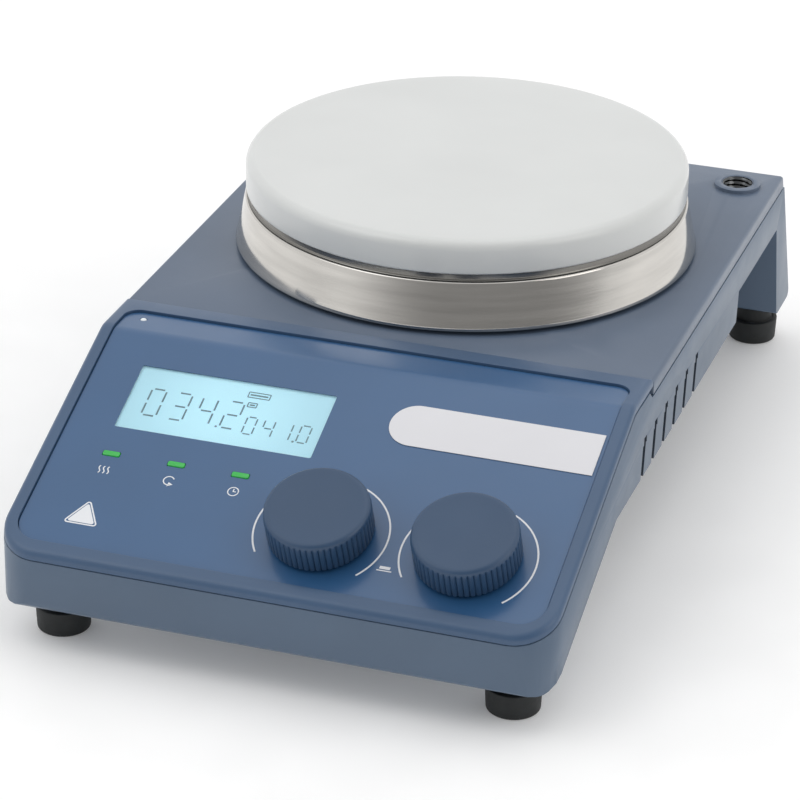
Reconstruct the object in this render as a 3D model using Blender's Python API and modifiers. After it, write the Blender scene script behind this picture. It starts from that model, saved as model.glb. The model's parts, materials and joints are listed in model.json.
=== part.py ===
"""Laboratory hotplate stirrer with a 135 mm class ceramic plate.

The body is a painted casing with a sloping control panel in front, finger
notches on both sides at the back and a rear wall that leans outwards to its
foot.  X is the width, -Y the front, +Z up, and Z = 0 is the bench.  Every
number in this file is in millimetres; MM turns it into Blender's metres.
"""
import math

import bmesh
import bpy
from mathutils import Matrix, Vector

MM = 0.001

# ---------------------------------------------------------------- dimensions
# Casing, seen from the side.
HALF_WIDTH = 79.3            # bezel
BODY_HALF = 79.5             # lower housing
COVER_HALF = 79.4            # top cover
FRONT_Y = -138.0
REAR_Y = 138.17              # foot of the leaning rear wall, before its rounding
TOP_Z = 61.7                 # top cover
TOP_REAR_Y = 119.0           # rear edge of the top cover
REAR_LEAN = math.atan2(REAR_Y - TOP_REAR_Y, TOP_Z - 12.5)
SEAM_Z = 57.4                # joint between top cover and lower housing
BASE_Z = 12.5                # underside that the feet are screwed to
WALL = 2.5
GAP = 0.3                    # free space between pieces that rest together

# Control panel: a flat strip, then a slope down to the front.
RIDGE_Y = -39.2              # rear edge of the bezel
BEND_Y = -58.4
OVERLAY_Z = 61.9             # overlay surface on the flat strip
PANEL_TILT = math.radians(21.8)
FRAME_RISE = 0.8             # bezel frame above the overlay
BEZEL_DROP = 2.6             # visible side of the bezel
OVERLAY_HALF = 75.2
OVERLAY_BACK_Y = -46.4
OVERLAY_END = 80.8           # down the slope, from the bend
OVERLAY_THICK = 0.5
OVERLAY_SEAT = 0.6           # overlay's recess in the bezel

# Lower housing: a side strip, an inset tub under it and the finger notches.
STRIP_Z = 45.5               # lower edge of the side strip
STRIP_BEND_Y = -50.0         # where that edge starts to follow the slope
TOE_Y = -128.0               # where it reaches the flat toe
TOE_Z = 14.6
TUB_HALF = 78.9              # at its lower edge
SIDE_Z = 34.5                # lower edge of the tub's sides
TUB_Z = 31.5                 # underside of the middle
TUB_REAR_Y = 71.0
CORE_HALF = 58.0             # middle block between the finger notches
LEG_TOP_Y = 112.4            # front face of the rear legs at the strip
LEG_FOOT_Y = 120.6           # and at their foot
HATCH_HALF = 46.0            # service opening in the floor
HATCH_FRONT_Y = -74.0
HATCH_REAR_Y = 104.0
CORNER_R = 12.0
SLOT_COUNT = 6
SLOT_FIRST_Y = -46.0
SLOT_PITCH = 11.46
SLOT_WIDTH = 2.8
SLOT_TOP_Z = 47.7

# Heating plate, centred over the motor.
PLATE_Y = 36.9
DISC_R = 66.4
DISC_TOP_Z = 89.6
DISC_LOW_Z = 79.4
SKIRT_R = 69.5
SKIRT_LOW_Z = 63.0
SHOULDER_Z = 76.4            # top of the skirt's cone, under a narrower neck
STANDOFF_CIRCLE = 52.0
SENSOR_OFFSET = 40.0

# Stirring drive under the plate.
SHAFT_R = 3.0
RUN_CLEARANCE = 0.05         # radial, between shaft and bore
MAGNET_OFFSET = 19.0
MAGNET_R = 7.0

# Knobs: u across and v down the slope, from the middle of the bend.
KNOB_U = {"heat": 8.1, "stir": 49.7}
KNOB_V = 61.0
KNOB_R = 14.75
KNOB_LOW = 0.8               # above the overlay
KNOB_HIGH = 10.6
KNOB_RIBS = 40
RIB_DEPTH = 0.4
BOARD_TOP = -11.0            # display board, below the overlay
ENCODER_SHAFT_LOW = -9.1     # the push moves the shaft and plunger 0.5 down from here

# Display and lamps on the slope.
LCD_U = (-61.6, -3.4)
LCD_V = (12.4, 36.1)
LAMP_U = {"heat": -58.6, "stir": -39.3, "timer": -20.4}
LAMP_V = 46.2
LAMP_SIZE = (5.0, 1.7)
POWER_LAMP = (-69.4, -50.6)
STRIP_U = (14.2, 74.2)
STRIP_V = (11.2, 26.2)

# Rod socket, feet and rear connectors.
ROD = (67.5, 106.2)
ROD_COLLAR_R = 7.3
ROD_COLLAR_Z = 62.9
ROD_NECK_R = 5.0             # sleeve inside the collar
ROD_BORE_R = 4.25            # core hole of an M10 thread
FRONT_FOOT = (65.3, -121.8)
REAR_FOOT = (70.0, 129.2)
FOOT_R = 7.8
FOOT_HEIGHT = 7.5
REAR_ORIGIN_Z = 36.0         # middle of the connector row
INLET_U = 33.0
ROCKER_U = 8.0
DATA_U = -15.0
SENSOR_U = -42.0

MODEL = bpy.data.collections.new("hotplate_stirrer")
CUTTERS = bpy.data.collections.new("cutters")


# ----------------------------------------------------------------- materials
def linear(channel):
    """Linear value of one 0-255 display channel."""
    c = channel / 255.0
    return c / 12.92 if c <= 0.04045 else ((c + 0.055) / 1.055) ** 2.4


def material(name, colour, roughness, metallic=0.0):
    """Principled material with one colour."""
    mat = bpy.data.materials.new(name)
    mat.use_nodes = True
    shader = mat.node_tree.nodes["Principled BSDF"]
    rgba = [linear(c) for c in colour] + [1.0]
    shader.inputs["Base Color"].default_value = rgba
    shader.inputs["Roughness"].default_value = roughness
    shader.inputs["Metallic"].default_value = metallic
    mat.diffuse_color = rgba
    return mat


PAINT_TOP = material("paint_top", (122, 134, 152), 0.45)
PAINT_SIDE = material("paint_side", (122, 131, 148), 0.45)
BEZEL_BLUE = material("bezel_blue", (84, 104, 130), 0.5)
OVERLAY_BLUE = material("overlay_blue", (88, 115, 156), 0.4)
LABEL_GREY = material("label_grey", (224, 224, 226), 0.4)
LCD_FACE = material("lcd_face", (190, 232, 245), 0.2)
CLEAR = material("clear_window", (225, 240, 246), 0.05)
BOARD_GREEN = material("board_green", (24, 92, 58), 0.55)
LAMP_GREEN = material("lamp_green", (52, 190, 80), 0.3)
KNOB_BLUE = material("knob_blue", (72, 92, 118), 0.5)
STEEL = material("steel", (196, 192, 186), 0.25, 1.0)
CERAMIC = material("ceramic_white", (226, 227, 227), 0.3)
HEATER = material("heater_mica", (120, 104, 84), 0.7)
INSULATION = material("insulation", (214, 206, 186), 0.95)
ALUMINIUM = material("aluminium", (178, 180, 183), 0.4, 1.0)
BRASS = material("brass", (190, 160, 92), 0.35, 1.0)
COPPER_BROWN = material("winding", (150, 86, 48), 0.45, 0.6)
MAGNET_GREY = material("magnet", (150, 152, 155), 0.3, 1.0)
BLACK_PLASTIC = material("black_plastic", (28, 29, 31), 0.5)
RUBBER = material("rubber", (24, 27, 28), 0.8)
SWITCH_RED = material("switch_red", (170, 44, 32), 0.4)


# ------------------------------------------------------------ shape helpers
def frame_empty(name, matrix):
    """Empty whose axes carry a group of pieces; matrix is in millimetres."""
    empty = bpy.data.objects.new(name, None)
    MODEL.objects.link(empty)
    scaled = matrix.copy()
    scaled.translation = matrix.translation * MM
    empty.matrix_world = scaled
    return empty


def put(name, mesh, mat, frame=None, at=(0, 0, 0), cutter=False, sharp=30):
    """Object from a mesh in millimetres, placed at a point of a frame."""
    mesh.transform(Matrix.Scale(MM, 4))
    mesh.name = name
    mesh.shade_smooth()
    mesh.set_sharp_from_angle(angle=math.radians(sharp))
    obj = bpy.data.objects.new(name, mesh)
    (CUTTERS if cutter else MODEL).objects.link(obj)
    obj.location = Vector(at) * MM
    if frame is not None:
        obj.parent = frame
    if cutter:
        obj.hide_render = True
        obj.display_type = "WIRE"
    else:
        mesh.materials.append(mat)
    return obj


def from_bmesh(bm):
    """Mesh data from a bmesh, which is freed."""
    mesh = bpy.data.meshes.new("mesh")
    bm.to_mesh(mesh)
    bm.free()
    return mesh


def block(low, high):
    """Box between two corners."""
    low, high = Vector(low), Vector(high)
    bm = bmesh.new()
    size = Matrix.Diagonal((*(high - low), 1.0))
    bmesh.ops.create_cube(bm, size=1.0, matrix=Matrix.Translation((low + high) / 2) @ size)
    return from_bmesh(bm)


def cylinder(radius, low, high, x=0.0, y=0.0, sides=32):
    """Upright cylinder."""
    bm = bmesh.new()
    middle = Matrix.Translation((x, y, (low + high) / 2))
    bmesh.ops.create_cone(bm, cap_ends=True, segments=sides, radius1=radius,
                          radius2=radius, depth=high - low, matrix=middle)
    return from_bmesh(bm)


def arc(cx, cy, radius, start, end, steps):
    """Points of a circular arc; angles in degrees, both ends included."""
    angles = [math.radians(start + (end - start) * i / steps) for i in range(steps + 1)]
    return [(cx + radius * math.cos(a), cy + radius * math.sin(a)) for a in angles]


def rounded(corners, steps=4):
    """Closed outline from (x, y, radius) corners, each radius as an arc."""
    points = []
    for i, (x, y, radius) in enumerate(corners):
        here = Vector((x, y))
        if radius <= 0:
            points.append((x, y))
            continue
        back = (Vector(corners[i - 1][:2]) - here).normalized()
        ahead = (Vector(corners[(i + 1) % len(corners)][:2]) - here).normalized()
        half = back.angle(ahead) / 2
        centre = here + (back + ahead).normalized() * radius / math.sin(half)
        first = here + back * radius / math.tan(half) - centre
        last = here + ahead * radius / math.tan(half) - centre
        turn = first.angle_signed(last)
        for k in range(steps + 1):
            points.append(tuple(centre + Matrix.Rotation(-turn * k / steps, 2) @ first))
    return points


def rectangle(u, v, radius=0.0, steps=4):
    """Rectangle outline between two u values and two v values."""
    return rounded([(u[0], v[0], radius), (u[1], v[0], radius),
                    (u[1], v[1], radius), (u[0], v[1], radius)], steps)


def prism(outline, low, high):
    """Outline in XY, filled and extruded from low to high along Z."""
    curve = bpy.data.curves.new("outline", "CURVE")
    curve.dimensions = "2D"
    curve.fill_mode = "BOTH"
    curve.extrude = (high - low) / 2
    spline = curve.splines.new("POLY")
    spline.points.add(len(outline) - 1)
    for point, (x, y) in zip(spline.points, outline):
        point.co = (x, y, 0.0, 1.0)
    spline.use_cyclic_u = True
    holder = bpy.data.objects.new("outline", curve)
    bpy.context.scene.collection.objects.link(holder)
    depsgraph = bpy.context.evaluated_depsgraph_get()
    mesh = bpy.data.meshes.new_from_object(holder.evaluated_get(depsgraph))
    bpy.data.objects.remove(holder)
    bpy.data.curves.remove(curve)
    bm = bmesh.new()
    bm.from_mesh(mesh)
    bpy.data.meshes.remove(mesh)
    bmesh.ops.remove_doubles(bm, verts=bm.verts, dist=0.001)
    bmesh.ops.dissolve_limit(bm, angle_limit=0.001, verts=bm.verts, edges=bm.edges)
    bmesh.ops.recalc_face_normals(bm, faces=bm.faces)
    bmesh.ops.translate(bm, verts=bm.verts, vec=(0, 0, (low + high) / 2))
    return from_bmesh(bm)


SIDEWAYS = Matrix(((0, 0, 1), (1, 0, 0), (0, 1, 0))).to_4x4()


def side_prism(outline, low, high):
    """Side outline in (y, z), extruded across from x = low to x = high."""
    mesh = prism(outline, low, high)
    mesh.transform(SIDEWAYS)
    return mesh


def round_edges(mesh, radius, chosen, segments=3):
    """Rounds the edges whose two ends and direction satisfy chosen(a, b)."""
    bm = bmesh.new()
    bm.from_mesh(mesh)
    edges = [e for e in bm.edges
             if e.calc_face_angle(0.0) > 0.3 and chosen(e.verts[0].co, e.verts[1].co)]
    bmesh.ops.bevel(bm, geom=edges, offset=radius, segments=segments,
                    profile=0.5, affect="EDGES", clamp_overlap=True)
    bm.to_mesh(mesh)
    bm.free()
    return mesh


def turned(profile, steps=48, x=0.0, y=0.0):
    """Solid of revolution about Z; the profile runs from top to bottom."""
    bm = bmesh.new()
    points = [bm.verts.new((r, 0.0, z)) for r, z in profile]
    for a, b in zip(points, points[1:]):
        bm.edges.new((a, b))
    if profile[0][0] > 0:
        bm.edges.new((points[-1], points[0]))
    mesh = from_bmesh(bm)
    holder = bpy.data.objects.new("profile", mesh)
    bpy.context.scene.collection.objects.link(holder)
    screw = holder.modifiers.new("turn", "SCREW")
    screw.steps = screw.render_steps = steps
    screw.use_merge_vertices = True
    screw.merge_threshold = 0.00001
    screw.use_normal_calculate = True
    depsgraph = bpy.context.evaluated_depsgraph_get()
    solid = bpy.data.meshes.new_from_object(holder.evaluated_get(depsgraph))
    bpy.data.objects.remove(holder)
    bm = bmesh.new()
    bm.from_mesh(solid)
    bmesh.ops.remove_doubles(bm, verts=bm.verts, dist=0.00001)
    bmesh.ops.recalc_face_normals(bm, faces=bm.faces)
    bmesh.ops.translate(bm, verts=bm.verts, vec=(x, y, 0))
    bpy.data.meshes.remove(solid)
    return from_bmesh(bm)


def combine(target, mesh, operation="DIFFERENCE", label="cutter"):
    """Boolean of a target with a mesh that lies in the target's own frame."""
    cutter = put(target.name + "_" + label, mesh, None, cutter=True)
    cutter.parent = target.parent
    cutter.location = target.location
    modifier = target.modifiers.new(label, "BOOLEAN")
    modifier.object = cutter
    modifier.operation = operation
    modifier.solver = "EXACT"
    return target


def cut(target, *meshes):
    """Takes each mesh out of the target."""
    for i, mesh in enumerate(meshes):
        combine(target, mesh, "DIFFERENCE", "cut%d" % (len(target.modifiers) + i))


def join(target, *meshes):
    """Adds each mesh to the target."""
    for i, mesh in enumerate(meshes):
        combine(target, mesh, "UNION", "join%d" % (len(target.modifiers) + i))


# ------------------------------------------------------------- frames of work
def panel_matrix():
    """Panel frame: X across, Y up the slope, Z out of the overlay."""
    return Matrix.Translation((0, BEND_Y, OVERLAY_Z)) @ Matrix.Rotation(PANEL_TILT, 4, "X")


def rear_matrix():
    """Rear frame: X to the left seen from the front, Y up the wall, Z out."""
    s, c = math.sin(REAR_LEAN), math.cos(REAR_LEAN)
    turn = Matrix(((-1, 0, 0), (0, -s, c), (0, c, s))).to_4x4()
    return Matrix.Translation((0, rear_y(REAR_ORIGIN_Z), REAR_ORIGIN_Z)) @ turn


def rear_y(z):
    """Y of the outer rear wall at a height."""
    return TOP_REAR_Y + (TOP_Z - z) * math.tan(REAR_LEAN)


def slope_z(y, below_frame):
    """Height of a line parallel to the bezel's top, some way under it."""
    top = OVERLAY_Z + FRAME_RISE
    return top - max(0.0, BEND_Y - y) * math.tan(PANEL_TILT) - below_frame


# -------------------------------------------------------------------- casing
def plan_block(inset):
    """Tall block with the casing's plan outline, inset all round."""
    half = BODY_HALF - inset
    front, back = FRONT_Y + inset, REAR_Y - inset
    return prism(rounded([(-half, front, CORNER_R - inset), (half, front, CORNER_R - inset),
                          (half, back, 0), (-half, back, 0)], 6), 5.0, 75.0)


def lower_housing():
    """Moulded lower shell: side strip, inset tub, finger notches, rear legs."""
    seam = BEZEL_DROP + GAP
    toe_rise = math.tan(math.atan2(STRIP_Z - TOE_Z, STRIP_BEND_Y - TOE_Y))
    strip = side_prism(rounded([
        (FRONT_Y, slope_z(FRONT_Y, seam), 0), (FRONT_Y, BASE_Z, 3.0),
        (TOE_Y - (TOE_Z - BASE_Z) / toe_rise, BASE_Z, 0), (STRIP_BEND_Y, STRIP_Z, 0),
        (rear_y(STRIP_Z), STRIP_Z, 0), (rear_y(SEAM_Z - GAP), SEAM_Z - GAP, 0),
        (RIDGE_Y - 1.0, SEAM_Z - GAP, 0), (RIDGE_Y - 4.0, slope_z(BEND_Y, seam), 0),
        (BEND_Y, slope_z(BEND_Y, seam), 0)], 3), -BODY_HALF, BODY_HALF)
    housing = put("lower_housing", strip, PAINT_SIDE)
    combine(housing, plan_block(0.0), "INTERSECT", "plan")

    outer = BODY_HALF - 0.1
    tub = prism(rounded([(-outer, -84.0, 0), (outer, -84.0, 0),
                         (outer, TUB_REAR_Y, 7.0), (-outer, TUB_REAR_Y, 7.0)]),
                SIDE_Z, STRIP_Z + 3.0)
    for vertex in tub.vertices:
        if vertex.co.z < SIDE_Z + 0.1:
            vertex.co.x *= TUB_HALF / outer
    core = block((-CORE_HALF, -84.0, TUB_Z), (CORE_HALF, LEG_TOP_Y + 6.0, STRIP_Z + 3.0))
    bar = side_prism(rounded([(LEG_TOP_Y, STRIP_Z + 2.0, 0), (LEG_FOOT_Y, BASE_Z, 2.0),
                              (REAR_Y, BASE_Z, 2.0),
                              (rear_y(STRIP_Z + 2.0), STRIP_Z + 2.0, 0)]), -BODY_HALF, BODY_HALF)
    lip = block((-CORE_HALF, 108.4, BASE_Z), (CORE_HALF, 125.0, BASE_Z + WALL))
    join(housing, tub, core, bar, lip)
    for side in (-1, 1):
        join(housing, cylinder(FOOT_R + 0.8, BASE_Z, 26.0, side * FRONT_FOOT[0], FRONT_FOOT[1]))

    cut(housing, *housing_cavities())
    slots(housing)
    return housing


def housing_cavities():
    """Hollows of the lower housing, one wall inside its outer faces."""
    inner = BODY_HALF - WALL
    tilt = math.atan2(STRIP_Z - TOE_Z, STRIP_BEND_Y - TOE_Y)
    rise = WALL / math.cos(tilt)
    floor = STRIP_Z + WALL
    wall_y = WALL / math.cos(REAR_LEAN)
    front = FRONT_Y + WALL
    upper = side_prism([
        (front, BASE_Z + WALL + 2.0), (TOE_Y, TOE_Z + rise), (STRIP_BEND_Y, floor),
        (rear_y(floor) - wall_y, floor), (rear_y(70.0) - wall_y, 70.0), (front, 70.0)],
        -inner, inner)
    bevel_front(upper, CORNER_R - WALL)
    tub_inner = TUB_HALF - WALL
    tub = prism(rounded([(-tub_inner, -66.0, 0), (tub_inner, -66.0, 0),
                         (tub_inner, TUB_REAR_Y - WALL, 4.5), (-tub_inner, TUB_REAR_Y - WALL, 4.5)]),
                SIDE_Z + WALL, floor + 4.0)
    core_inner = CORE_HALF - WALL
    core = side_prism([
        (-81.5, TUB_Z + WALL), (108.0, TUB_Z + WALL), (112.0, BASE_Z + WALL),
        (rear_y(BASE_Z + WALL) - wall_y - 0.2, BASE_Z + WALL), (rear_y(55.0) - wall_y - 0.2, 55.0),
        (50.0, 55.0), (50.0, STRIP_Z), (-81.5, STRIP_Z - 5.0)], -core_inner, core_inner)
    hatch = block((-HATCH_HALF, HATCH_FRONT_Y, 20.0), (HATCH_HALF, HATCH_REAR_Y, 36.0))
    legs = [side_prism([
        (LEG_TOP_Y + WALL + 0.6, floor + 2.0), (LEG_TOP_Y + WALL + 0.6, STRIP_Z),
        (LEG_FOOT_Y + WALL - 0.8, BASE_Z + 4.0), (rear_y(BASE_Z + 4.0) - wall_y - 0.2, BASE_Z + 4.0),
        (rear_y(floor + 2.0) - wall_y - 0.2, floor + 2.0)], low, high)
        for low, high in ((-inner + 0.3, -CORE_HALF - 1.0), (CORE_HALF + 1.0, inner - 0.3))]
    screws = [cylinder(1.7, 5.0, 30.0, side * x, y, 16)
              for side in (-1, 1) for x, y in (FRONT_FOOT, REAR_FOOT)]
    return [upper, tub, core, hatch, *legs, *screws]


def bevel_front(mesh, radius):
    """Rounds the two upright edges at the front of a mesh."""
    front = min(v.co.y for v in mesh.vertices)
    return round_edges(mesh, radius, lambda a, b: max(a.y, b.y) < front + 0.1
                       and abs(a.x - b.x) < 0.1, segments=6)


def slots(housing):
    """Vent slots through both sides, open at the tub's lower edge."""
    for side in (-1, 1):
        for i in range(SLOT_COUNT):
            y = SLOT_FIRST_Y + SLOT_PITCH * i
            x = sorted((side * (TUB_HALF - WALL - 1.0), side * (BODY_HALF + 1.0)))
            cut(housing, block((x[0], y - SLOT_WIDTH / 2, SIDE_Z - 1.0),
                               (x[1], y + SLOT_WIDTH / 2, SLOT_TOP_Z)))


def bottom_cover():
    """Tray that closes the floor and carries the main board."""
    low, high = Vector((-57.0, -84.0, BASE_Z)), Vector((57.0, 108.0, TUB_Z - GAP))
    shape = prism(rectangle((low.x, high.x), (low.y, high.y), 6.0), low.z, high.z)
    round_edges(shape, 1.5, lambda a, b: max(a.z, b.z) < BASE_Z + 0.1, segments=2)
    tray = put("bottom_cover", shape, BLACK_PLASTIC)
    inside = prism(rectangle((low.x + 2.0, high.x - 2.0), (low.y + 2.0, high.y - 2.0), 4.0),
                   BASE_Z + 2.0, high.z + 1.0)
    cut(tray, inside)
    for x in (-38.0, 38.0):
        for y in (-62.0, 12.0):
            join(tray, cylinder(3.0, BASE_Z + 1.0, 17.6, x, y, 16))


def top_cover():
    """Painted cover with the rod collar and the opening for the drive."""
    front = RIDGE_Y + GAP
    shape = side_prism([(front, SEAM_Z), (rear_y(SEAM_Z), SEAM_Z),
                        (TOP_REAR_Y, TOP_Z), (front, TOP_Z)], -COVER_HALF, COVER_HALF)
    round_edges(shape, 1.0, lambda a, b: min(a.y, b.y) > 0 and abs(a.x - b.x) < 0.1)
    round_edges(shape, 1.5, lambda a, b: min(a.z, b.z) > TOP_Z - 0.1
                and not max(a.y, b.y) < front + 0.1)
    cover = put("top_cover", shape, PAINT_TOP)
    join(cover, cylinder(ROD_COLLAR_R, TOP_Z - 1.0, ROD_COLLAR_Z, *ROD))
    cut(cover, block((-COVER_HALF + 2.4, front + 2.4, SEAM_Z - 5.0),
                     (COVER_HALF - 2.4, TOP_REAR_Y - 2.4, TOP_Z - 2.2)),
        cylinder(ROD_NECK_R + 0.1, 50.0, 70.0, *ROD),
        cylinder(14.0, 50.0, 70.0, 0.0, PLATE_Y),
        cylinder(2.4, 50.0, 70.0, *sensor_place(), 12))


def rod_socket():
    """Threaded steel sleeve under the collar, for a 10 mm support rod."""
    top = ROD_COLLAR_Z - 0.6
    profile = [(ROD_NECK_R, top), (ROD_NECK_R, 59.2), (ROD_NECK_R + 2.0, 59.2),
               (ROD_NECK_R + 2.0, 48.3), (ROD_BORE_R, 48.3), (ROD_BORE_R, top)]
    put("rod_socket", turned(profile, 24, *ROD), STEEL)


def feet():
    """Four rubber feet, each held by a screw through its middle."""
    profile = [(6.0, BASE_Z - GAP), (6.0, FOOT_HEIGHT), (FOOT_R - 0.3, FOOT_HEIGHT),
               (FOOT_R, FOOT_HEIGHT - 0.6), (FOOT_R - 0.2, 0.6), (FOOT_R - 0.8, 0.0),
               (3.6, 0.0), (3.6, 3.4), (1.8, 3.4), (1.8, BASE_Z - GAP)]
    screw = [(0.0, 3.1), (3.0, 3.1), (3.0, 1.4), (2.2, 1.0), (0.0, 1.0)]
    shank = 1.5
    for end, (x, y), reach in (("front", FRONT_FOOT, 20.5), ("rear", REAR_FOOT, 22.0)):
        for side, sign in (("left", -1), ("right", 1)):
            put("foot_%s_%s" % (end, side), turned(profile, 20, sign * x, y), RUBBER)
            long = [(0.0, reach), (shank, reach - 0.6), (shank, 3.1)] + screw[1:]
            put("foot_screw_%s_%s" % (end, side), turned(long, 10, sign * x, y), STEEL)


# ------------------------------------------------------------- control panel
def bezel_outline(top, drop, front, back):
    """Side outline of a slab that follows the panel's flat strip and slope."""
    return [(front, slope_z(front, drop)), (front, slope_z(front, top)),
            (BEND_Y, slope_z(BEND_Y, top)), (back, slope_z(back, top)),
            (back, slope_z(back, drop)), (BEND_Y, slope_z(BEND_Y, drop))]


def control_bezel(panel):
    """Frame around the overlay, with openings for knobs, display and lamps."""
    shape = side_prism(bezel_outline(0.0, BEZEL_DROP, FRONT_Y, RIDGE_Y), -HALF_WIDTH, HALF_WIDTH)
    bevel_front(shape, CORNER_R)
    bezel = put("control_bezel", round_edges(shape, 1.6, top_edge), BEZEL_BLUE)
    plug_half = BODY_HALF - WALL - 0.5
    join(bezel, side_prism(bezel_outline(1.5, 4.4, FRONT_Y + 9.0, RIDGE_Y - 2.0),
                           -plug_half, plug_half))
    cut(bezel, overlay_shape(OVERLAY_SEAT, 3.0, 0.15))
    openings = [prism(rectangle((LCD_U[0] - 0.9, LCD_U[1] + 0.9), (-LCD_V[1] - 0.9, -LCD_V[0] + 0.9)),
                      -8.0, 2.0)]
    openings += [cylinder(4.3, -8.0, 2.0, u, -KNOB_V, 24) for u in KNOB_U.values()]
    openings += [lamp_shape(u, 0.25, -8.0, 2.0) for u in LAMP_U.values()]
    for mesh in openings:
        mesh.transform(panel)
    cut(bezel, *openings, cylinder(1.1, 50.0, 70.0, *POWER_LAMP, 12))


def top_edge(a, b):
    """True for an outer edge along the top of the bezel."""
    return all(abs(p.z - slope_z(p.y, 0.0)) < 0.05 for p in (a, b)) and not (
        abs(a.y - BEND_Y) < 0.1 and abs(b.y - BEND_Y) < 0.1)


def overlay_shape(depth, height, margin):
    """Bent sheet of the overlay's outline, from depth under its face upwards."""
    half = OVERLAY_HALF + margin
    back = OVERLAY_BACK_Y + margin
    end_y = BEND_Y - (OVERLAY_END + margin) * math.cos(PANEL_TILT)
    sheet = side_prism(bezel_outline(FRAME_RISE - height, FRAME_RISE + depth, end_y, back),
                       -half, half)
    def upright(a, b):
        return abs(a.x - b.x) < 0.1 and abs(a.z - b.z) > 0.2 and abs(a.y - b.y) < 0.1

    round_edges(sheet, 4.5, lambda a, b: upright(a, b) and a.y > BEND_Y)
    return round_edges(sheet, 7.0, lambda a, b: upright(a, b) and a.y < BEND_Y)


def lamp_shape(u, margin, low, high):
    """Small upright rectangle of a lamp's light pipe."""
    half_u, half_v = LAMP_SIZE[0] / 2 + margin, LAMP_SIZE[1] / 2 + margin
    return prism(rectangle((u - half_u, u + half_u), (-LAMP_V - half_v, -LAMP_V + half_v), 0.4, 2),
                 low, high)


def panel_overlay(panel):
    """Printed overlay, bent over the flat strip and the slope."""
    overlay = put("panel_overlay", overlay_shape(OVERLAY_THICK, 0.0, 0.0), OVERLAY_BLUE)
    openings = [prism(rectangle(LCD_U, (-LCD_V[1], -LCD_V[0])), -3.0, 2.0)]
    openings += [cylinder(4.3, -3.0, 2.0, u, -KNOB_V, 24) for u in KNOB_U.values()]
    openings += [lamp_shape(u, 0.15, -3.0, 2.0) for u in LAMP_U.values()]
    for mesh in openings:
        mesh.transform(panel)
    cut(overlay, *openings, cylinder(1.05, 50.0, 70.0, *POWER_LAMP, 12))


def panel_pieces(frame):
    """Blank badge, display, board and light pipes, in the panel frame."""
    middle = (STRIP_V[0] + STRIP_V[1]) / 2
    round_r = (STRIP_V[1] - STRIP_V[0]) / 2
    badge = arc(STRIP_U[0] + round_r, -middle, round_r, 90, 270, 12)
    badge += [(STRIP_U[1], -STRIP_V[1]), (STRIP_U[1], -STRIP_V[0])]
    put("label_strip", prism(badge, 0.05, 0.25), LABEL_GREY, frame)
    put("lcd_window", prism(rectangle((LCD_U[0] - 0.6, LCD_U[1] + 0.6),
                                      (-LCD_V[1] - 0.6, -LCD_V[0] + 0.6)), -2.2, -0.8), CLEAR, frame)
    put("lcd_module", block((LCD_U[0] - 4.0, -LCD_V[1] - 3.0, -9.0),
                            (LCD_U[1] + 4.0, -LCD_V[0] + 3.0, -4.0)), LCD_FACE, frame)
    put("display_board", block((-72.0, -76.0, BOARD_TOP - 1.6), (72.0, -6.0, BOARD_TOP)),
        BOARD_GREEN, frame)
    for name, u in LAMP_U.items():
        put(name + "_light_pipe", lamp_shape(u, 0.0, BOARD_TOP + GAP, 0.1), LAMP_GREEN, frame)
    put("power_light_pipe", cylinder(0.9, 55.0, OVERLAY_Z + 0.1, *POWER_LAMP, 12), LAMP_GREEN)


def knob_shape():
    """Knob body whose side is a ring of small ribs."""
    points = []
    for i in range(2 * KNOB_RIBS):
        angle = math.pi * i / KNOB_RIBS
        radius = KNOB_R - RIB_DEPTH * (i % 2)
        points.append((radius * math.cos(angle), radius * math.sin(angle)))
    return prism(points, KNOB_LOW, KNOB_HIGH)


def control_set(name, frame):
    """One push-and-turn control: knob, shaft, plunger and encoder body."""
    at = (KNOB_U[name], -KNOB_V, 0.0)
    knob = put(name + "_knob", knob_shape(), KNOB_BLUE, frame, at, sharp=20)
    rim = [(0.0, KNOB_HIGH)] + arc(KNOB_R - 1.1, KNOB_HIGH - 1.2, 1.2, 90, 0, 2)
    rim += [(KNOB_R + 1.0, KNOB_HIGH - 2.2), (KNOB_R + 1.0, KNOB_LOW - 1.0), (0.0, KNOB_LOW - 1.0)]
    combine(knob, turned(rim, 36), "INTERSECT", "rim")
    cut(knob, cylinder(SHAFT_R + RUN_CLEARANCE, KNOB_LOW - 1.0, 8.2, sides=24))
    put(name + "_encoder_shaft", cylinder(SHAFT_R, ENCODER_SHAFT_LOW, 8.0, sides=24), STEEL, frame, at)
    bore = SHAFT_R + RUN_CLEARANCE
    body = put(name + "_encoder_body", block((-6.0, -6.5, BOARD_TOP + GAP), (6.0, 6.5, -4.8)),
               ALUMINIUM, frame, at)
    join(body, cylinder(3.9, -5.5, -0.4, sides=24))
    cut(body, cylinder(bore, ENCODER_SHAFT_LOW - 0.7, 2.0, sides=24),
        cylinder(1.6, -12.0, -9.0, sides=16))
    put(name + "_push_plunger", cylinder(1.4, BOARD_TOP + 0.8, ENCODER_SHAFT_LOW - 0.2, sides=16),
        BLACK_PLASTIC, frame, at)


# -------------------------------------------------------------- heating plate
def sensor_place():
    """Plan position of the plate's temperature sensor."""
    angle = math.radians(205)
    return SENSOR_OFFSET * math.cos(angle), PLATE_Y + SENSOR_OFFSET * math.sin(angle)


def standoff_places():
    """Plan positions of the three plate standoffs."""
    angles = [math.radians(90 + 120 * i) for i in range(3)]
    return [(STANDOFF_CIRCLE * math.cos(a), PLATE_Y + STANDOFF_CIRCLE * math.sin(a))
            for a in angles]


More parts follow.
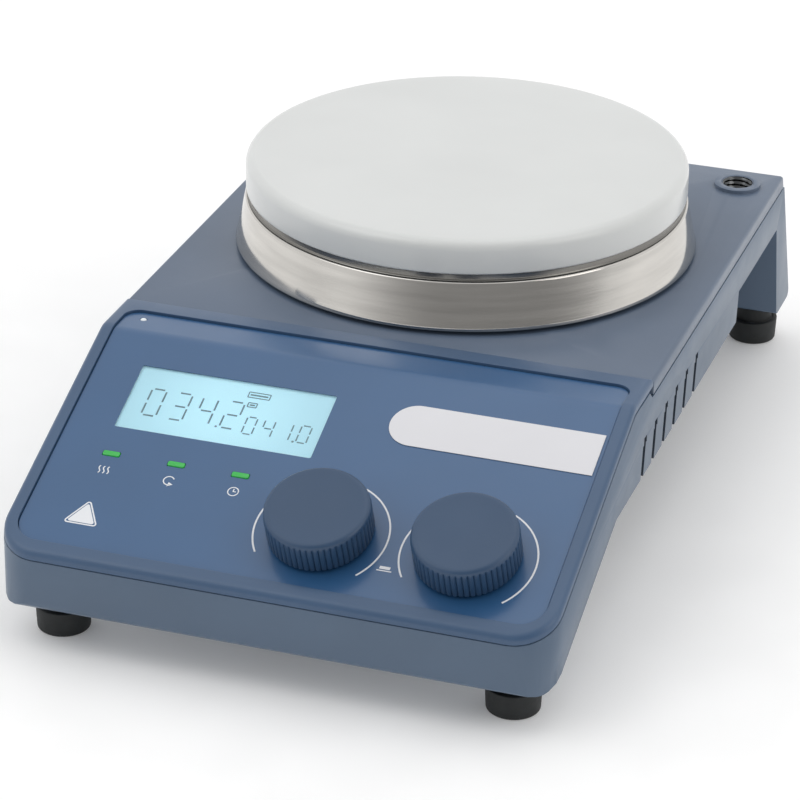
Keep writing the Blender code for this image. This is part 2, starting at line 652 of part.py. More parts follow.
def heating_plate():
    """Ceramic disc, steel skirt and the layers between them."""
    centre = (0.0, PLATE_Y)
    disc = [(0.0, DISC_TOP_Z)] + arc(DISC_R - 3.0, DISC_TOP_Z - 3.0, 3.0, 90, 0, 3)
    disc += [(DISC_R, DISC_LOW_Z + 0.8), (DISC_R - 0.8, DISC_LOW_Z), (0.0, DISC_LOW_Z)]
    put("hotplate_disc", turned(disc, 56, *centre), CERAMIC)

    under = DISC_LOW_Z - GAP
    skirt = [(DISC_R - 0.9, under), (DISC_R - 0.9, SHOULDER_Z + 0.5), (DISC_R - 0.2, SHOULDER_Z + 0.1),
             (DISC_R + 0.2, SHOULDER_Z - 0.4), (SKIRT_R, SKIRT_LOW_Z), (SKIRT_R - 1.2, SKIRT_LOW_Z),
             (DISC_R - 1.0, SHOULDER_Z - 0.9), (DISC_R - 2.0, SHOULDER_Z - 0.4),
             (DISC_R - 2.0, under - 1.2), (58.5, under - 1.2), (58.5, under)]
    put("plate_skirt", turned(skirt, 56, *centre), STEEL)

    hot = under - 3.0            # underside of the heating element
    element = put("heating_element", turned(
        [(58.0, under), (58.0, hot), (12.0, hot), (12.0, under)], 40, *centre), HEATER)
    layer = put("insulation_disc", turned(
        [(62.0, hot - GAP), (62.0, hot - 4.3), (10.0, hot - 4.3), (10.0, hot - GAP)],
        40, *centre), INSULATION)
    shield = put("heat_shield", turned(
        [(65.0, hot - 4.6), (65.0, hot - 8.4), (64.0, hot - 8.4), (64.0, hot - 5.4),
         (10.0, hot - 5.4), (10.0, hot - 4.6)], 40, *centre), ALUMINIUM)
    for piece in (element, layer, shield):
        cut(piece, cylinder(2.0, 60.0, under - 0.6, *sensor_place(), 12))
    put("plate_sensor", cylinder(1.6, 58.0, under - 0.9, *sensor_place(), 12), STEEL)
    for i, place in enumerate(standoff_places()):
        put("plate_standoff_%d" % (i + 1), cylinder(4.0, TOP_Z + GAP, hot - 5.7, *place, 16), STEEL)


# ------------------------------------------------------------ stirring drive
def stirring_drive():
    """Brushless motor on its bracket, and the magnet carrier it turns."""
    centre = (0.0, PLATE_Y)
    bore = SHAFT_R + RUN_CLEARANCE
    put("motor_bracket", turned(
        [(12.5, 62.4), (12.5, 59.2), (34.0, 59.2), (34.0, 56.4), (5.0, 56.4),
         (5.0, 57.4), (9.3, 57.4), (9.3, 62.4)], 32, *centre), ALUMINIUM)
    put("motor_can", turned(
        [(33.0, 56.1), (33.0, 34.6), (5.0, 34.6), (5.0, 35.6), (9.3, 35.6), (9.3, 40.4),
         (11.0, 40.4), (11.0, 36.6), (31.6, 36.6), (31.6, 56.1)], 32, *centre), STEEL)
    put("motor_stator", turned(
        [(31.3, 54.0), (31.3, 41.0), (17.6, 41.0), (17.6, 54.0)], 32, *centre), COPPER_BROWN)
    put("motor_rotor", turned(
        [(17.0, 54.0), (17.0, 41.0), (bore, 41.0), (bore, 54.0)], 32, *centre), MAGNET_GREY)
    put("drive_shaft", turned([(0.0, 66.4), (SHAFT_R, 66.4), (SHAFT_R, 35.8), (0.0, 35.8)],
                              24, *centre), STEEL)
    for name, low in (("upper_bearing", 57.7), ("lower_bearing", 35.9)):
        put(name, turned([(9.0, low + 4.4), (9.0, low), (bore, low), (bore, low + 4.4)],
                         24, *centre), STEEL)
    carrier = put("magnet_carrier", turned(
        [(29.0, 66.6), (29.0, 64.2), (7.0, 64.2), (7.0, 62.8), (bore, 62.8), (bore, 66.6)],
        32, *centre), ALUMINIUM)
    for side, name in ((-1, "magnet_south"), (1, "magnet_north")):
        x = side * MAGNET_OFFSET
        cut(carrier, cylinder(MAGNET_R + 0.1, 65.4, 68.0, x, PLATE_Y, 20))
        put(name, cylinder(MAGNET_R, 65.5, 70.0, x, PLATE_Y, 20), MAGNET_GREY)


# --------------------------------------------------------------- electronics
def electronics():
    """Main board on the tray's posts, with its largest parts."""
    top = 19.5
    put("main_board", block((-44.0, -68.0, top - 1.6), (44.0, 18.0, top)), BOARD_GREEN)
    put("power_transformer", block((-38.0, -58.0, top + GAP), (-8.0, -30.0, top + 22.0)),
        COPPER_BROWN)
    sink = put("heat_sink", block((6.0, -60.0, top + GAP), (38.0, -32.0, top + 20.0)), ALUMINIUM)
    for i in range(6):
        x = 8.6 + 5.0 * i
        cut(sink, block((x, -61.0, top + 4.0), (x + 2.4, -31.0, top + 21.0)))
    put("filter_capacitor", cylinder(6.0, top + GAP, top + 13.0, -24.0, -14.0, 24), BLACK_PLASTIC)


# ------------------------------------------------------------ rear connectors
def rear_openings(housing):
    """Openings in the rear wall for the connectors."""
    shapes = [block((INLET_U - 14.3, -16.3, -9.0), (INLET_U + 14.3, 16.3, 5.0)),
              block((ROCKER_U - 6.8, -9.8, -9.0), (ROCKER_U + 6.8, 9.8, 5.0)),
              block((DATA_U - 9.6, -5.2, -9.0), (DATA_U + 9.6, 5.2, 5.0)),
              cylinder(7.3, -9.0, 5.0, SENSOR_U, 5.0),
              cylinder(3.3, -9.0, 5.0, SENSOR_U, -13.0, 16)]
    for mesh in shapes:
        mesh.transform(rear_matrix())
    cut(housing, *shapes)


def rear_connectors(frame):
    """Mains inlet with fuse drawer, rocker, data port, sensor socket, trimmer."""
    inlet = put("power_inlet", block((INLET_U - 14.0, -16.0, -16.0), (INLET_U + 14.0, 16.0, 0.0)),
                BLACK_PLASTIC, frame)
    join(inlet, prism(rectangle((INLET_U - 16.0, INLET_U + 16.0), (-18.0, 18.0), 2.0, 2), 0.3, 2.6),
         block((INLET_U - 14.0, -16.0, -0.5), (INLET_U + 14.0, 16.0, 1.0)))
    socket = rounded([(INLET_U - 12.2, -5.6, 1.5), (INLET_U + 12.2, -5.6, 1.5),
                      (INLET_U + 12.2, 6.0, 1.0), (INLET_U + 7.5, 11.0, 1.0),
                      (INLET_U - 7.5, 11.0, 1.0), (INLET_U - 12.2, 6.0, 1.0)], 2)
    cut(inlet, prism(socket, -13.0, 4.0),
        block((INLET_U - 11.0, -14.6, -13.0), (INLET_U + 11.0, -7.6, 4.0)))
    for u, v in ((-7.0, 0.5), (7.0, 0.5), (0.0, 4.5)):
        join(inlet, block((INLET_U + u - 1.0, v - 2.0, -14.0), (INLET_U + u + 1.0, v + 2.0, -5.0)))
    put("fuse_drawer", block((INLET_U - 10.7, -14.3, -12.5), (INLET_U + 10.7, -7.9, 3.1)),
        BLACK_PLASTIC, frame)

    switch = put("rocker_frame", block((ROCKER_U - 6.5, -9.5, -14.0), (ROCKER_U + 6.5, 9.5, 1.0)),
                 BLACK_PLASTIC, frame)
    join(switch, block((ROCKER_U - 7.8, -10.8, 0.3), (ROCKER_U + 7.8, 10.8, 2.2)))
    cut(switch, block((ROCKER_U - 5.2, -8.4, -9.0), (ROCKER_U + 5.2, 8.4, 4.0)))
    rocker = side_prism([(-7.0, 1.4), (0.0, 1.0), (7.0, 4.0), (7.0, 1.4), (4.0, -5.0),
                         (-4.0, -5.0), (-7.0, -0.8)], -4.8, 4.8)
    put("power_rocker", rocker, SWITCH_RED, frame, (ROCKER_U, 0.0, 0.0))

    port = put("data_port", block((DATA_U - 9.2, -4.8, -9.0), (DATA_U + 9.2, 4.8, 0.6)),
               STEEL, frame)
    join(port, prism(rectangle((DATA_U - 12.6, DATA_U + 12.6), (-6.3, 6.3), 1.0, 2), 0.3, 1.3),
         prism(rounded([(DATA_U - 7.4, -3.9, 1.5), (DATA_U + 7.4, -3.9, 1.5),
                        (DATA_U + 8.6, 3.9, 1.5), (DATA_U - 8.6, 3.9, 1.5)], 2), 1.0, 6.0))
    cut(port, prism(rounded([(DATA_U - 6.8, -3.3, 1.2), (DATA_U + 6.8, -3.3, 1.2),
                             (DATA_U + 8.0, 3.3, 1.2), (DATA_U - 8.0, 3.3, 1.2)], 2), -1.5, 8.0))

    sensor = put("sensor_socket", turned(
        [(0.0, -6.0), (5.4, -6.0), (5.4, 3.4), (8.8, 3.4), (8.8, 0.3), (7.0, 0.3), (7.0, -12.0),
         (0.0, -12.0)], 24, SENSOR_U, 5.0), STEEL, frame)
    join(sensor, cylinder(0.9, -8.0, -3.0, SENSOR_U - 2.4, 5.0, 12),
         cylinder(0.9, -8.0, -3.0, SENSOR_U + 2.4, 5.0, 12))
    trimmer = put("safety_adjuster", turned(
        [(0.0, 0.6), (3.0, 0.6), (3.0, -8.0), (0.0, -8.0)], 24), BRASS, frame,
        (SENSOR_U, -13.0, 0.0))
    cut(trimmer, block((-4.0, -0.5, -0.6), (4.0, 0.5, 1.0)))


def build():
    """Clears the scene and makes every piece."""
    for obj in list(bpy.data.objects):
        bpy.data.objects.remove(obj)
    for collection in (MODEL, CUTTERS):
        bpy.context.scene.collection.children.link(collection)
    panel = panel_matrix()
    panel_frame = frame_empty("panel_frame", panel)
    rear_frame = frame_empty("rear_frame", rear_matrix())
    housing = lower_housing()
    rear_openings(housing)
    bottom_cover()
    top_cover()
    rod_socket()
    feet()
    control_bezel(panel)
    panel_overlay(panel)
    panel_pieces(panel_frame)
    for name in KNOB_U:
        control_set(name, panel_frame)
    heating_plate()
    stirring_drive()
    electronics()
    rear_connectors(rear_frame)


build()
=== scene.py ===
import json
import math

import bmesh
import bpy
from mathutils import Matrix, Vector


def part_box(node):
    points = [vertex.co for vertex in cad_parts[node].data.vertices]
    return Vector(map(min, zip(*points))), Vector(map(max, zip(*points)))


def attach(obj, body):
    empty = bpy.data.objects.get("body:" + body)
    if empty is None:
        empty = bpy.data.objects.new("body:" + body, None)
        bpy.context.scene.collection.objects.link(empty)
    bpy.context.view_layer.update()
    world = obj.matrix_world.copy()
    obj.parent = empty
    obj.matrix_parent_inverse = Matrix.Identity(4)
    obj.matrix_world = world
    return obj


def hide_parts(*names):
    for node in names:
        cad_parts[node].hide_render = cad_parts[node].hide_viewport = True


# Looks of the hotplate stirrer.  Lengths are in millimetres and MM turns them
# into metres; X is the width, -Y the front and Z = 0 the bench, as in the CAD.
MM = 0.001
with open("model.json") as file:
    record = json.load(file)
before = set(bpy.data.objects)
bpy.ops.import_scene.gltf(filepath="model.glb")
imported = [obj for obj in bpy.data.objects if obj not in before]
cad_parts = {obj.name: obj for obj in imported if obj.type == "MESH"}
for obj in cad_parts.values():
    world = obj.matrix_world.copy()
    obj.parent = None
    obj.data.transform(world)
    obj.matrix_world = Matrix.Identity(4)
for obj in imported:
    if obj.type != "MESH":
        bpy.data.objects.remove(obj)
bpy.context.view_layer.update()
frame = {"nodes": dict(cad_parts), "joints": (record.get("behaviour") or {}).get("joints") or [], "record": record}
NODES = frame["nodes"]
BODY = "stirrer_body"


def box(node):
    """Lowest and highest corner of a CAD node, in millimetres."""
    low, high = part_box(node)
    return low / MM, high / MM


# ---------------------------------------------------------------- dimensions
HALF_WIDTH = box("control_bezel")[1].x
FRONT_Y = box("control_bezel")[0].y
RIDGE_Y = box("control_bezel")[1].y
COVER_TOP_Z = box("top_cover")[1].z            # top of the rod collar
TOP_Z = 61.7                                   # flat top of the cover
TOP_REAR_Y = 119.0                             # rear wall at that height
REAR_AXIS = next(j["axis"] for j in frame["joints"] if j["name"] == "safety_turn")
REAR_LEAN = math.atan2(REAR_AXIS[1], REAR_AXIS[2])  # of the rear wall's normal
BEND_Y = -58.4                                 # where the sloping panel begins
OVERLAY_Z = 61.9                               # flat strip behind the bend
PANEL_TILT = math.radians(21.8)
FRAME_RISE = 0.8                               # of the bezel over the overlay
BEZEL_DROP = 2.6                               # thickness of the bezel
BEND_R = 9.0                                   # soft bend between strip and slope
PANEL = Matrix.Translation((0, BEND_Y, OVERLAY_Z)) @ Matrix.Rotation(PANEL_TILT, 4, "X")
OVERLAY_HALF = 75.2
OVERLAY_BACK_Y = -46.4
OVERLAY_END = 80.8                             # front edge, down the slope
GROOVE = 0.2                                   # around the overlay
CORNER_R = 12.0                                # front corners of the bezel
OVERLAY_CORNERS = {"back": 4.5, "front": 7.0}

# On the panel, u runs to the right and v down the slope from the bend.
KNOBS = {"heat": 8.1, "stir": 49.7}            # u of their axes
KNOB_V = 61.0
KNOB_R = 14.75
KNOB_LOW, KNOB_HIGH = 0.8, 10.6
KNOB_RIBS = 56
RIB_DEPTH = 0.5
KNOB_BORE_R, KNOB_BORE_TOP = 3.05, 8.2
SHAFT_HOLE_R = 4.3                             # in the bezel and the overlay
SCALE_R = 18.7                                 # printed arcs around the knobs
LCD_U = (-61.6, -3.4)
LCD_V = (12.4, 36.1)
LCD_FACE = -0.75                               # lit face, just under the window
LAMPS = {"heat": -58.6, "stir": -39.3, "timer": -20.4}  # u of their middles
LAMP_V = 46.2
LAMP_SIZE = (5.0, 1.7)
LIGHT_PIPE = (-10.7, 0.28)                     # from the board to just above the overlay
POWER_LENS_R = 0.9
STRIP_U = (14.2, 74.2)                         # blank badge
STRIP_V = (11.2, 26.2)
SYMBOL_V = 52.3                                # marks under the lamps
TRIANGLE, TRIANGLE_SIDE = (-58.1, -69.5), 10.5  # its middle as (u, -v)
PUSH_MARK = (28.9, -70.4)                      # between the knobs, as (u, -v)

DISC_LOW, DISC_HIGH = box("hotplate_disc")
PLATE = ((DISC_LOW.x + DISC_HIGH.x) / 2, (DISC_LOW.y + DISC_HIGH.y) / 2)
DISC_R = (DISC_HIGH.x - DISC_LOW.x) / 2
SKIRT_R = 69.5                                 # at its foot
SKIRT_LOW_Z = box("plate_skirt")[0].z
SHOULDER_Z = 77.0                              # top of the skirt's cone
SKIRT_BORE_R = 58.5

SLOT_TOP_Z = 47.8                              # vent slots in the side walls
SLOT_Y = (-48.0, 14.0)

ROD = (67.5, 106.2)
ROD_NECK_R, ROD_FLANGE_R = 5.0, 7.0            # above and below the shoulder
ROD_THREAD_R = 4.25                            # at the crests
ROD_TOP_Z = COVER_TOP_Z - 0.1
ROD_LOW_Z = box("rod_socket")[0].z
ROD_SHOULDER_Z = 59.2
THREAD_PITCH, THREAD_DEPTH = 1.5, 0.5
REAR_ORIGIN_Z = 36.0                           # height of the rear frame's origin
DATA_U, PIN_PITCH = -15.0, 2.77                # two rows of pins in the data port
PIN_ROWS = ((5, 1.42), (4, -1.42))             # pins in a row, and its height
FOOT_HEIGHT = 7.5                              # rubber drum, without its neck
FOOT_NECK_R = 6.0
SCREW_R = 1.8
RECESS_R, RECESS_DEPTH = 3.6, 3.4              # around the head of the foot's screw


# ----------------------------------------------------------------- materials
def linear(colour):
    """Linear RGBA of a 0-255 display colour."""
    channels = [c / 255.0 for c in colour]
    return [c / 12.92 if c <= 0.04045 else ((c + 0.055) / 1.055) ** 2.4 for c in channels] + [1.0]


def shade(colour, factor):
    """Display colour made lighter or darker."""
    return [min(255.0, c * factor) for c in colour]


class Nodes:
    """Small helper that adds and links the nodes of one material."""

    def __init__(self, name):
        self.material = bpy.data.materials.new(name)
        self.material.use_nodes = True
        self.tree = self.material.node_tree
        self.shader = self.tree.nodes["Principled BSDF"]

    def add(self, kind, **settings):
        node = self.tree.nodes.new(kind)
        for key, value in settings.items():
            setattr(node, key, value)
        return node

    def link(self, source, target):
        self.tree.links.new(source, target)

    def place(self, scale=(1.0, 1.0, 1.0)):
        """Object coordinates, stretched."""
        coords = self.add("ShaderNodeTexCoord")
        stretch = self.add("ShaderNodeMapping")
        stretch.inputs["Scale"].default_value = scale
        self.link(coords.outputs["Object"], stretch.inputs["Vector"])
        return stretch.outputs["Vector"]

    def noise(self, scale, detail=3.0, stretch=(1.0, 1.0, 1.0), roughness=0.5):
        node = self.add("ShaderNodeTexNoise")
        node.inputs["Scale"].default_value = scale
        node.inputs["Detail"].default_value = detail
        node.inputs["Roughness"].default_value = roughness
        self.link(self.place(stretch), node.inputs["Vector"])
        return node.outputs["Fac"]

    def ramp(self, source, stops):
        """Colour ramp; stops are (position, RGBA)."""
        node = self.add("ShaderNodeValToRGB")
        elements = node.color_ramp.elements
        while len(elements) < len(stops):
            elements.new(0.5)
        for element, (position, colour) in zip(elements, stops):
            element.position = position
            element.color = colour
        self.link(source, node.inputs["Fac"])
        return node.outputs["Color"]

    def spread(self, source, low, high):
        """Maps the middle of a noise to low...high."""
        node = self.add("ShaderNodeMapRange")
        node.inputs["From Min"].default_value = 0.2
        node.inputs["From Max"].default_value = 0.8
        node.inputs["To Min"].default_value = low
        node.inputs["To Max"].default_value = high
        self.link(source, node.inputs["Value"])
        return node.outputs["Result"]

    def bump(self, source, height, before=None):
        """Bump of a height in metres, on top of an earlier one."""
        node = self.add("ShaderNodeBump")
        node.inputs["Distance"].default_value = height
        node.inputs["Strength"].default_value = 1.0
        self.link(source, node.inputs["Height"])
        if before is not None:
            self.link(before, node.inputs["Normal"])
        return node.outputs["Normal"]

    def to_shader(self, socket, source):
        self.link(source, self.shader.inputs[socket])


def finish(name, colour, roughness, metallic=0.0, tone=0.03, tone_scale=35.0, wander=0.05,
           grain=900.0, grain_height=0.00002, stretch=(1.0, 1.0, 1.0), **sockets):
    """Surface whose tone, roughness and fine grain vary slightly over it."""
    n = Nodes(name)
    mottle = n.noise(tone_scale, 4.0)
    n.to_shader("Base Color", n.ramp(mottle, [
        (0.3, linear(shade(colour, 1.0 - tone))), (0.7, linear(shade(colour, 1.0 + tone)))]))
    n.to_shader("Roughness", n.spread(n.noise(tone_scale * 3.0, 3.0, stretch),
                                      max(0.02, roughness - wander), roughness + wander))
    if grain_height:
        n.to_shader("Normal", n.bump(n.noise(grain, 3.0, stretch), grain_height))
    n.shader.inputs["Metallic"].default_value = metallic
    for key, value in sockets.items():
        n.shader.inputs[key.replace("_", " ")].default_value = value
    n.material.diffuse_color = linear(colour)
    return n.material


def turned_steel(name, colour, roughness):
    """Spun steel: fine rings and a little tone variation along them."""
    n = Nodes(name)
    mottle = n.noise(30.0, 3.0, (1.0, 1.0, 14.0))
    n.to_shader("Base Color", n.ramp(mottle, [
        (0.3, linear(shade(colour, 0.95))), (0.7, linear(shade(colour, 1.03)))]))
    rings = n.noise(60.0, 2.0, (1.0, 1.0, 60.0))
    n.to_shader("Roughness", n.spread(rings, roughness - 0.03, roughness + 0.04))
    n.to_shader("Normal", n.bump(rings, 0.0000015))
    n.shader.inputs["Metallic"].default_value = 1.0
    n.material.diffuse_color = linear(colour)
    return n.material


def glow(name, colour, strength, roughness=0.25, **sockets):
    """Surface that gives a little light of its own, such as a lamp."""
    mat = finish(name, colour, roughness, tone=0.01, wander=0.02, grain_height=0.0, **sockets)
    shader = mat.node_tree.nodes["Principled BSDF"]
    shader.inputs["Emission Color"].default_value = linear(colour)
    shader.inputs["Emission Strength"].default_value = strength
    return mat


def backlight(name, edge, middle, strength):
    """Display face that is lit a little more in its middle than at its ends."""
    n = Nodes(name)
    centre = PANEL @ Vector((sum(LCD_U) / 2, -sum(LCD_V) / 2, LCD_FACE)) * MM
    coords = n.add("ShaderNodeTexCoord")
    away = n.add("ShaderNodeVectorMath", operation="DISTANCE")
    away.inputs[1].default_value = centre
    n.link(coords.outputs["Object"], away.inputs[0])
    reach = n.add("ShaderNodeMapRange", interpolation_type="SMOOTHSTEP")
    reach.inputs["From Min"].default_value = 4.0 * MM
    reach.inputs["From Max"].default_value = 34.0 * MM
    n.link(away.outputs["Value"], reach.inputs["Value"])
    colour = n.ramp(reach.outputs["Result"], [(0.0, linear(middle)), (1.0, linear(edge))])
    n.to_shader("Base Color", colour)
    n.to_shader("Emission Color", colour)
    n.shader.inputs["Emission Strength"].default_value = strength
    n.shader.inputs["Roughness"].default_value = 0.25
    n.material.diffuse_color = linear(middle)
    return n.material


def enamel(name, colour, roughness):
    """Smooth glazed plate with a very faint cloudiness and an even gloss."""
    n = Nodes(name)
    n.to_shader("Base Color", n.ramp(n.noise(22.0, 3.0), [
        (0.3, linear(shade(colour, 0.985))), (0.7, linear(shade(colour, 1.01)))]))
    n.to_shader("Roughness", n.spread(n.noise(30.0, 1.0), roughness - 0.02, roughness + 0.02))
    n.to_shader("Normal", n.bump(n.noise(60.0, 0.0), 0.000015))
    n.shader.inputs["Coat Weight"].default_value = 0.4
    n.shader.inputs["Coat Roughness"].default_value = 0.12
    n.material.diffuse_color = linear(colour)
    return n.material


# Lit and shaded copies of one slate-blue paint: the cover's lighter copy is painted light from above, the
# housing's darker copy is painted shade on its walls.
LIT_TOP_PAINT = finish("paint_top", (90, 105, 126), 0.4, tone=0.02, grain=1300.0,
                   grain_height=0.000018, Coat_Weight=0.25, Coat_Roughness=0.3)
SHADED_SIDE_PAINT = finish("paint_side", (78, 98, 121), 0.4, tone=0.02, grain=1300.0,
                    grain_height=0.000018, Coat_Weight=0.2, Coat_Roughness=0.35)
# Near-black copy of the paint for the walls of the vent slots: painted shade inside the openings.
SLOT_SHADE_PAINT = finish("painted_slot_shade", (34, 46, 60), 0.6, tone=0.02)
BEZEL_BLUE = finish("bezel_blue", (60, 87, 119), 0.36, tone=0.02, grain=1100.0,
                    grain_height=0.00002, Coat_Weight=0.15, Coat_Roughness=0.35)
OVERLAY_BLUE = finish("overlay_blue", (42, 86, 130), 0.34, tone=0.015, grain=1800.0,
                      grain_height=0.000006, Coat_Weight=0.55, Coat_Roughness=0.18)
LABEL_GREY = finish("label_grey", (222, 222, 226), 0.4, tone=0.008, grain=1600.0,
                    grain_height=0.000006)
INK_WHITE = finish("ink_white", (232, 234, 238), 0.5, tone=0.01, grain_height=0.0)
LCD_LIT = backlight("lcd_lit", (178, 214, 224), (196, 234, 244), 0.36)
LCD_INK = finish("lcd_ink", (126, 150, 158), 0.4, tone=0.02, grain_height=0.0)
GLASS = finish("window", (240, 247, 250), 0.08, tone=0.0, grain_height=0.0, wander=0.01,
               Transmission_Weight=1.0, IOR=1.1)
BOARD = finish("board_green", (24, 92, 58), 0.45, tone=0.06, tone_scale=160.0)
LAMP = glow("lamp_green", (40, 165, 66), 0.22, Coat_Weight=0.3)
PALE_LENS = glow("pale_lens", (226, 232, 236), 0.1)
KNOB_BLUE = finish("knob_blue", (42, 70, 101), 0.42, tone=0.02, grain=1500.0,
                   grain_height=0.000025, Coat_Weight=0.1, Coat_Roughness=0.4)
STEEL = turned_steel("polished_steel", (206, 203, 198), 0.09)
BLACKENED = finish("blackened_steel", (96, 98, 100), 0.22, 1.0, tone=0.05, wander=0.06)
# Darker copy of the turned steel for the neck under the disc: painted shade and a painted dark reflection in that
# groove.
NECK_SHADE_STEEL = turned_steel("neck_steel_painted_shade", (128, 126, 122), 0.2)
PLAIN_STEEL = finish("plain_steel", (190, 189, 186), 0.3, 1.0, tone=0.03, wander=0.08,
                     grain=1400.0, grain_height=0.000008)
CERAMIC = enamel("ceramic_white", (212, 214, 213), 0.3)
ALUMINIUM = finish("aluminium", (178, 180, 183), 0.38, 1.0, tone=0.03, wander=0.08)
MICA = finish("heater_mica", (120, 104, 84), 0.65, tone=0.15, tone_scale=260.0, wander=0.1)
INSULATION = finish("insulation", (214, 206, 186), 0.95, tone=0.06, tone_scale=300.0, wander=0.03,
                    grain=700.0, grain_height=0.0002)
WINDING = finish("winding", (150, 86, 48), 0.4, 0.6, tone=0.1, tone_scale=300.0,
                 stretch=(1.0, 1.0, 30.0), grain=300.0, grain_height=0.00008)
MAGNET = finish("magnet", (150, 152, 155), 0.28, 1.0, tone=0.03)
BLACK = finish("black_plastic", (30, 31, 33), 0.42, tone=0.08, grain=1500.0, grain_height=0.00003)
RUBBER = finish("rubber", (30, 33, 34), 0.62, tone=0.12, tone_scale=120.0, wander=0.08,
                grain=1200.0, grain_height=0.00005)
SWITCH_RED = finish("switch_red", (168, 40, 30), 0.3, tone=0.03, grain_height=0.00001,
                    Coat_Weight=0.3)
BRASS = finish("brass", (190, 160, 92), 0.32, 1.0, tone=0.05)


# ------------------------------------------------------------- shape helpers
def arc(cx, cy, radius, start, end, steps):
    """Points of a circular arc; angles in degrees, both ends included."""
    angles = [math.radians(start + (end - start) * i / steps) for i in range(steps + 1)]
    return [(cx + radius * math.cos(a), cy + radius * math.sin(a)) for a in angles]


def rounded(corners, steps=6):
    """Closed outline from (x, y, radius) corners, each radius as an arc."""
    points = []
    for i, (x, y, radius) in enumerate(corners):
        here = Vector((x, y))
        if radius <= 0:
            points.append((x, y))
            continue
        back = (Vector(corners[i - 1][:2]) - here).normalized()
        ahead = (Vector(corners[(i + 1) % len(corners)][:2]) - here).normalized()
        half = back.angle(ahead) / 2
        centre = here + (back + ahead).normalized() * radius / math.sin(half)
        first = here + back * radius / math.tan(half) - centre
        last = here + ahead * radius / math.tan(half) - centre
        turn = first.angle_signed(last)
        for k in range(steps + 1):
            points.append(tuple(centre + Matrix.Rotation(-turn * k / steps, 2) @ first))
    return points


def rectangle(u, v, radius=0.0, steps=5):
    """Rectangle outline between two u values and two v values."""
    return rounded([(u[0], v[0], radius), (u[1], v[0], radius),
                    (u[1], v[1], radius), (u[0], v[1], radius)], steps)


def prism(outline, low, high):
    """Outline in XY extruded from low to high along Z."""
    bm = bmesh.new()
    bottom = bm.faces.new([bm.verts.new((x, y, low)) for x, y in outline])
    grown = bmesh.ops.extrude_face_region(bm, geom=[bottom])["geom"]
    moved = [v for v in grown if isinstance(v, bmesh.types.BMVert)]
    bmesh.ops.translate(bm, verts=moved, vec=(0, 0, high - low))
    bmesh.ops.recalc_face_normals(bm, faces=bm.faces)
    return bm


SIDEWAYS = Matrix(((0, 0, 1), (1, 0, 0), (0, 1, 0))).to_4x4()


def side_prism(outline, low, high):
    """Side outline in (y, z), extruded across from x = low to x = high."""
    bm = prism(outline, low, high)
    bm.transform(SIDEWAYS)
    return bm


def bridge(bm, a, b):
    """Quads between two closed rings of vertices."""
    for i in range(len(a)):
        k = (i + 1) % len(a)
        bm.faces.new([a[i], a[k], b[k], b[i]])


def turned(profile, steps=96, at=(0.0, 0.0)):
    """Solid of revolution about Z; a profile that starts off the axis is a ring."""
    bm = bmesh.new()
    rings = []
    for r, z in profile:
        if r < 1e-6:
            rings.append([bm.verts.new((at[0], at[1], z))] * steps)
        else:
            rings.append([bm.verts.new((at[0] + r * math.cos(2 * math.pi * i / steps),
                                        at[1] + r * math.sin(2 * math.pi * i / steps), z))
                          for i in range(steps)])
    pairs = list(zip(rings, rings[1:]))
    if profile[0][0] > 0:
        pairs.append((rings[-1], rings[0]))
    for a, b in pairs:
        for i in range(steps):
            k = (i + 1) % steps
            corners = list(dict.fromkeys([a[i], a[k], b[k], b[i]]))
            if len(corners) > 2:
                bm.faces.new(corners)
    bmesh.ops.recalc_face_normals(bm, faces=bm.faces)
    return bm


def disc_prism(radius, low, high, x=0.0, y=0.0, steps=48):
    """Upright cylinder."""
    return turned([(0.0, high), (radius, high), (radius, low), (0.0, low)], steps, (x, y))


def soften(bm, radius, segments, chosen):
    """Rounds the edges for which chosen(edge) is true."""
    edges = [e for e in bm.edges if len(e.link_faces) == 2 and chosen(e)]
    bmesh.ops.bevel(bm, geom=edges, offset=radius, segments=segments, profile=0.5,
                    affect="EDGES", clamp_overlap=True)
    return bm


def upper_rim(e):
    """True for an edge between a face that looks up and a wall."""
    heights = sorted(f.normal.z for f in e.link_faces)
    return heights[1] > 0.6 and abs(heights[0]) < 0.3


def joined(*parts):
    """One bmesh from several."""
    whole = bmesh.new()
    for part in parts:
        mesh = bpy.data.meshes.new("part")
        part.to_mesh(mesh)
        part.free()
        whole.from_mesh(mesh)
        bpy.data.meshes.remove(mesh)
    return whole


def evaluated(obj):
    """The object's mesh with its modifiers applied."""
    mesh = bpy.data.meshes.new_from_object(obj.evaluated_get(bpy.context.evaluated_depsgraph_get()))
    obj.modifiers.clear()
    return mesh


def working(bm):
    """Plain object from a bmesh, for the steps before a piece is placed."""
    mesh = bpy.data.meshes.new("working")
    bm.to_mesh(mesh)
    bm.free()
    obj = bpy.data.objects.new("working", mesh)
    bpy.context.scene.collection.objects.link(obj)
    return obj


def carve(bm, tools, operation="DIFFERENCE"):
    """Boolean of one bmesh with several others, as a new bmesh."""
    target = working(bm)
    cutters = [working(tool) for tool in tools]
    for cutter in cutters:
        modifier = target.modifiers.new("cut", "BOOLEAN")
        modifier.object, modifier.operation, modifier.solver = cutter, operation, "EXACT"
    mesh = evaluated(target)
    for obj in [target, *cutters]:
        bpy.data.objects.remove(obj)
    out = bmesh.new()
    out.from_mesh(mesh)
    bmesh.ops.remove_doubles(out, verts=out.verts, dist=0.0005)
    bmesh.ops.dissolve_degenerate(out, edges=out.edges, dist=0.0005)
    return out


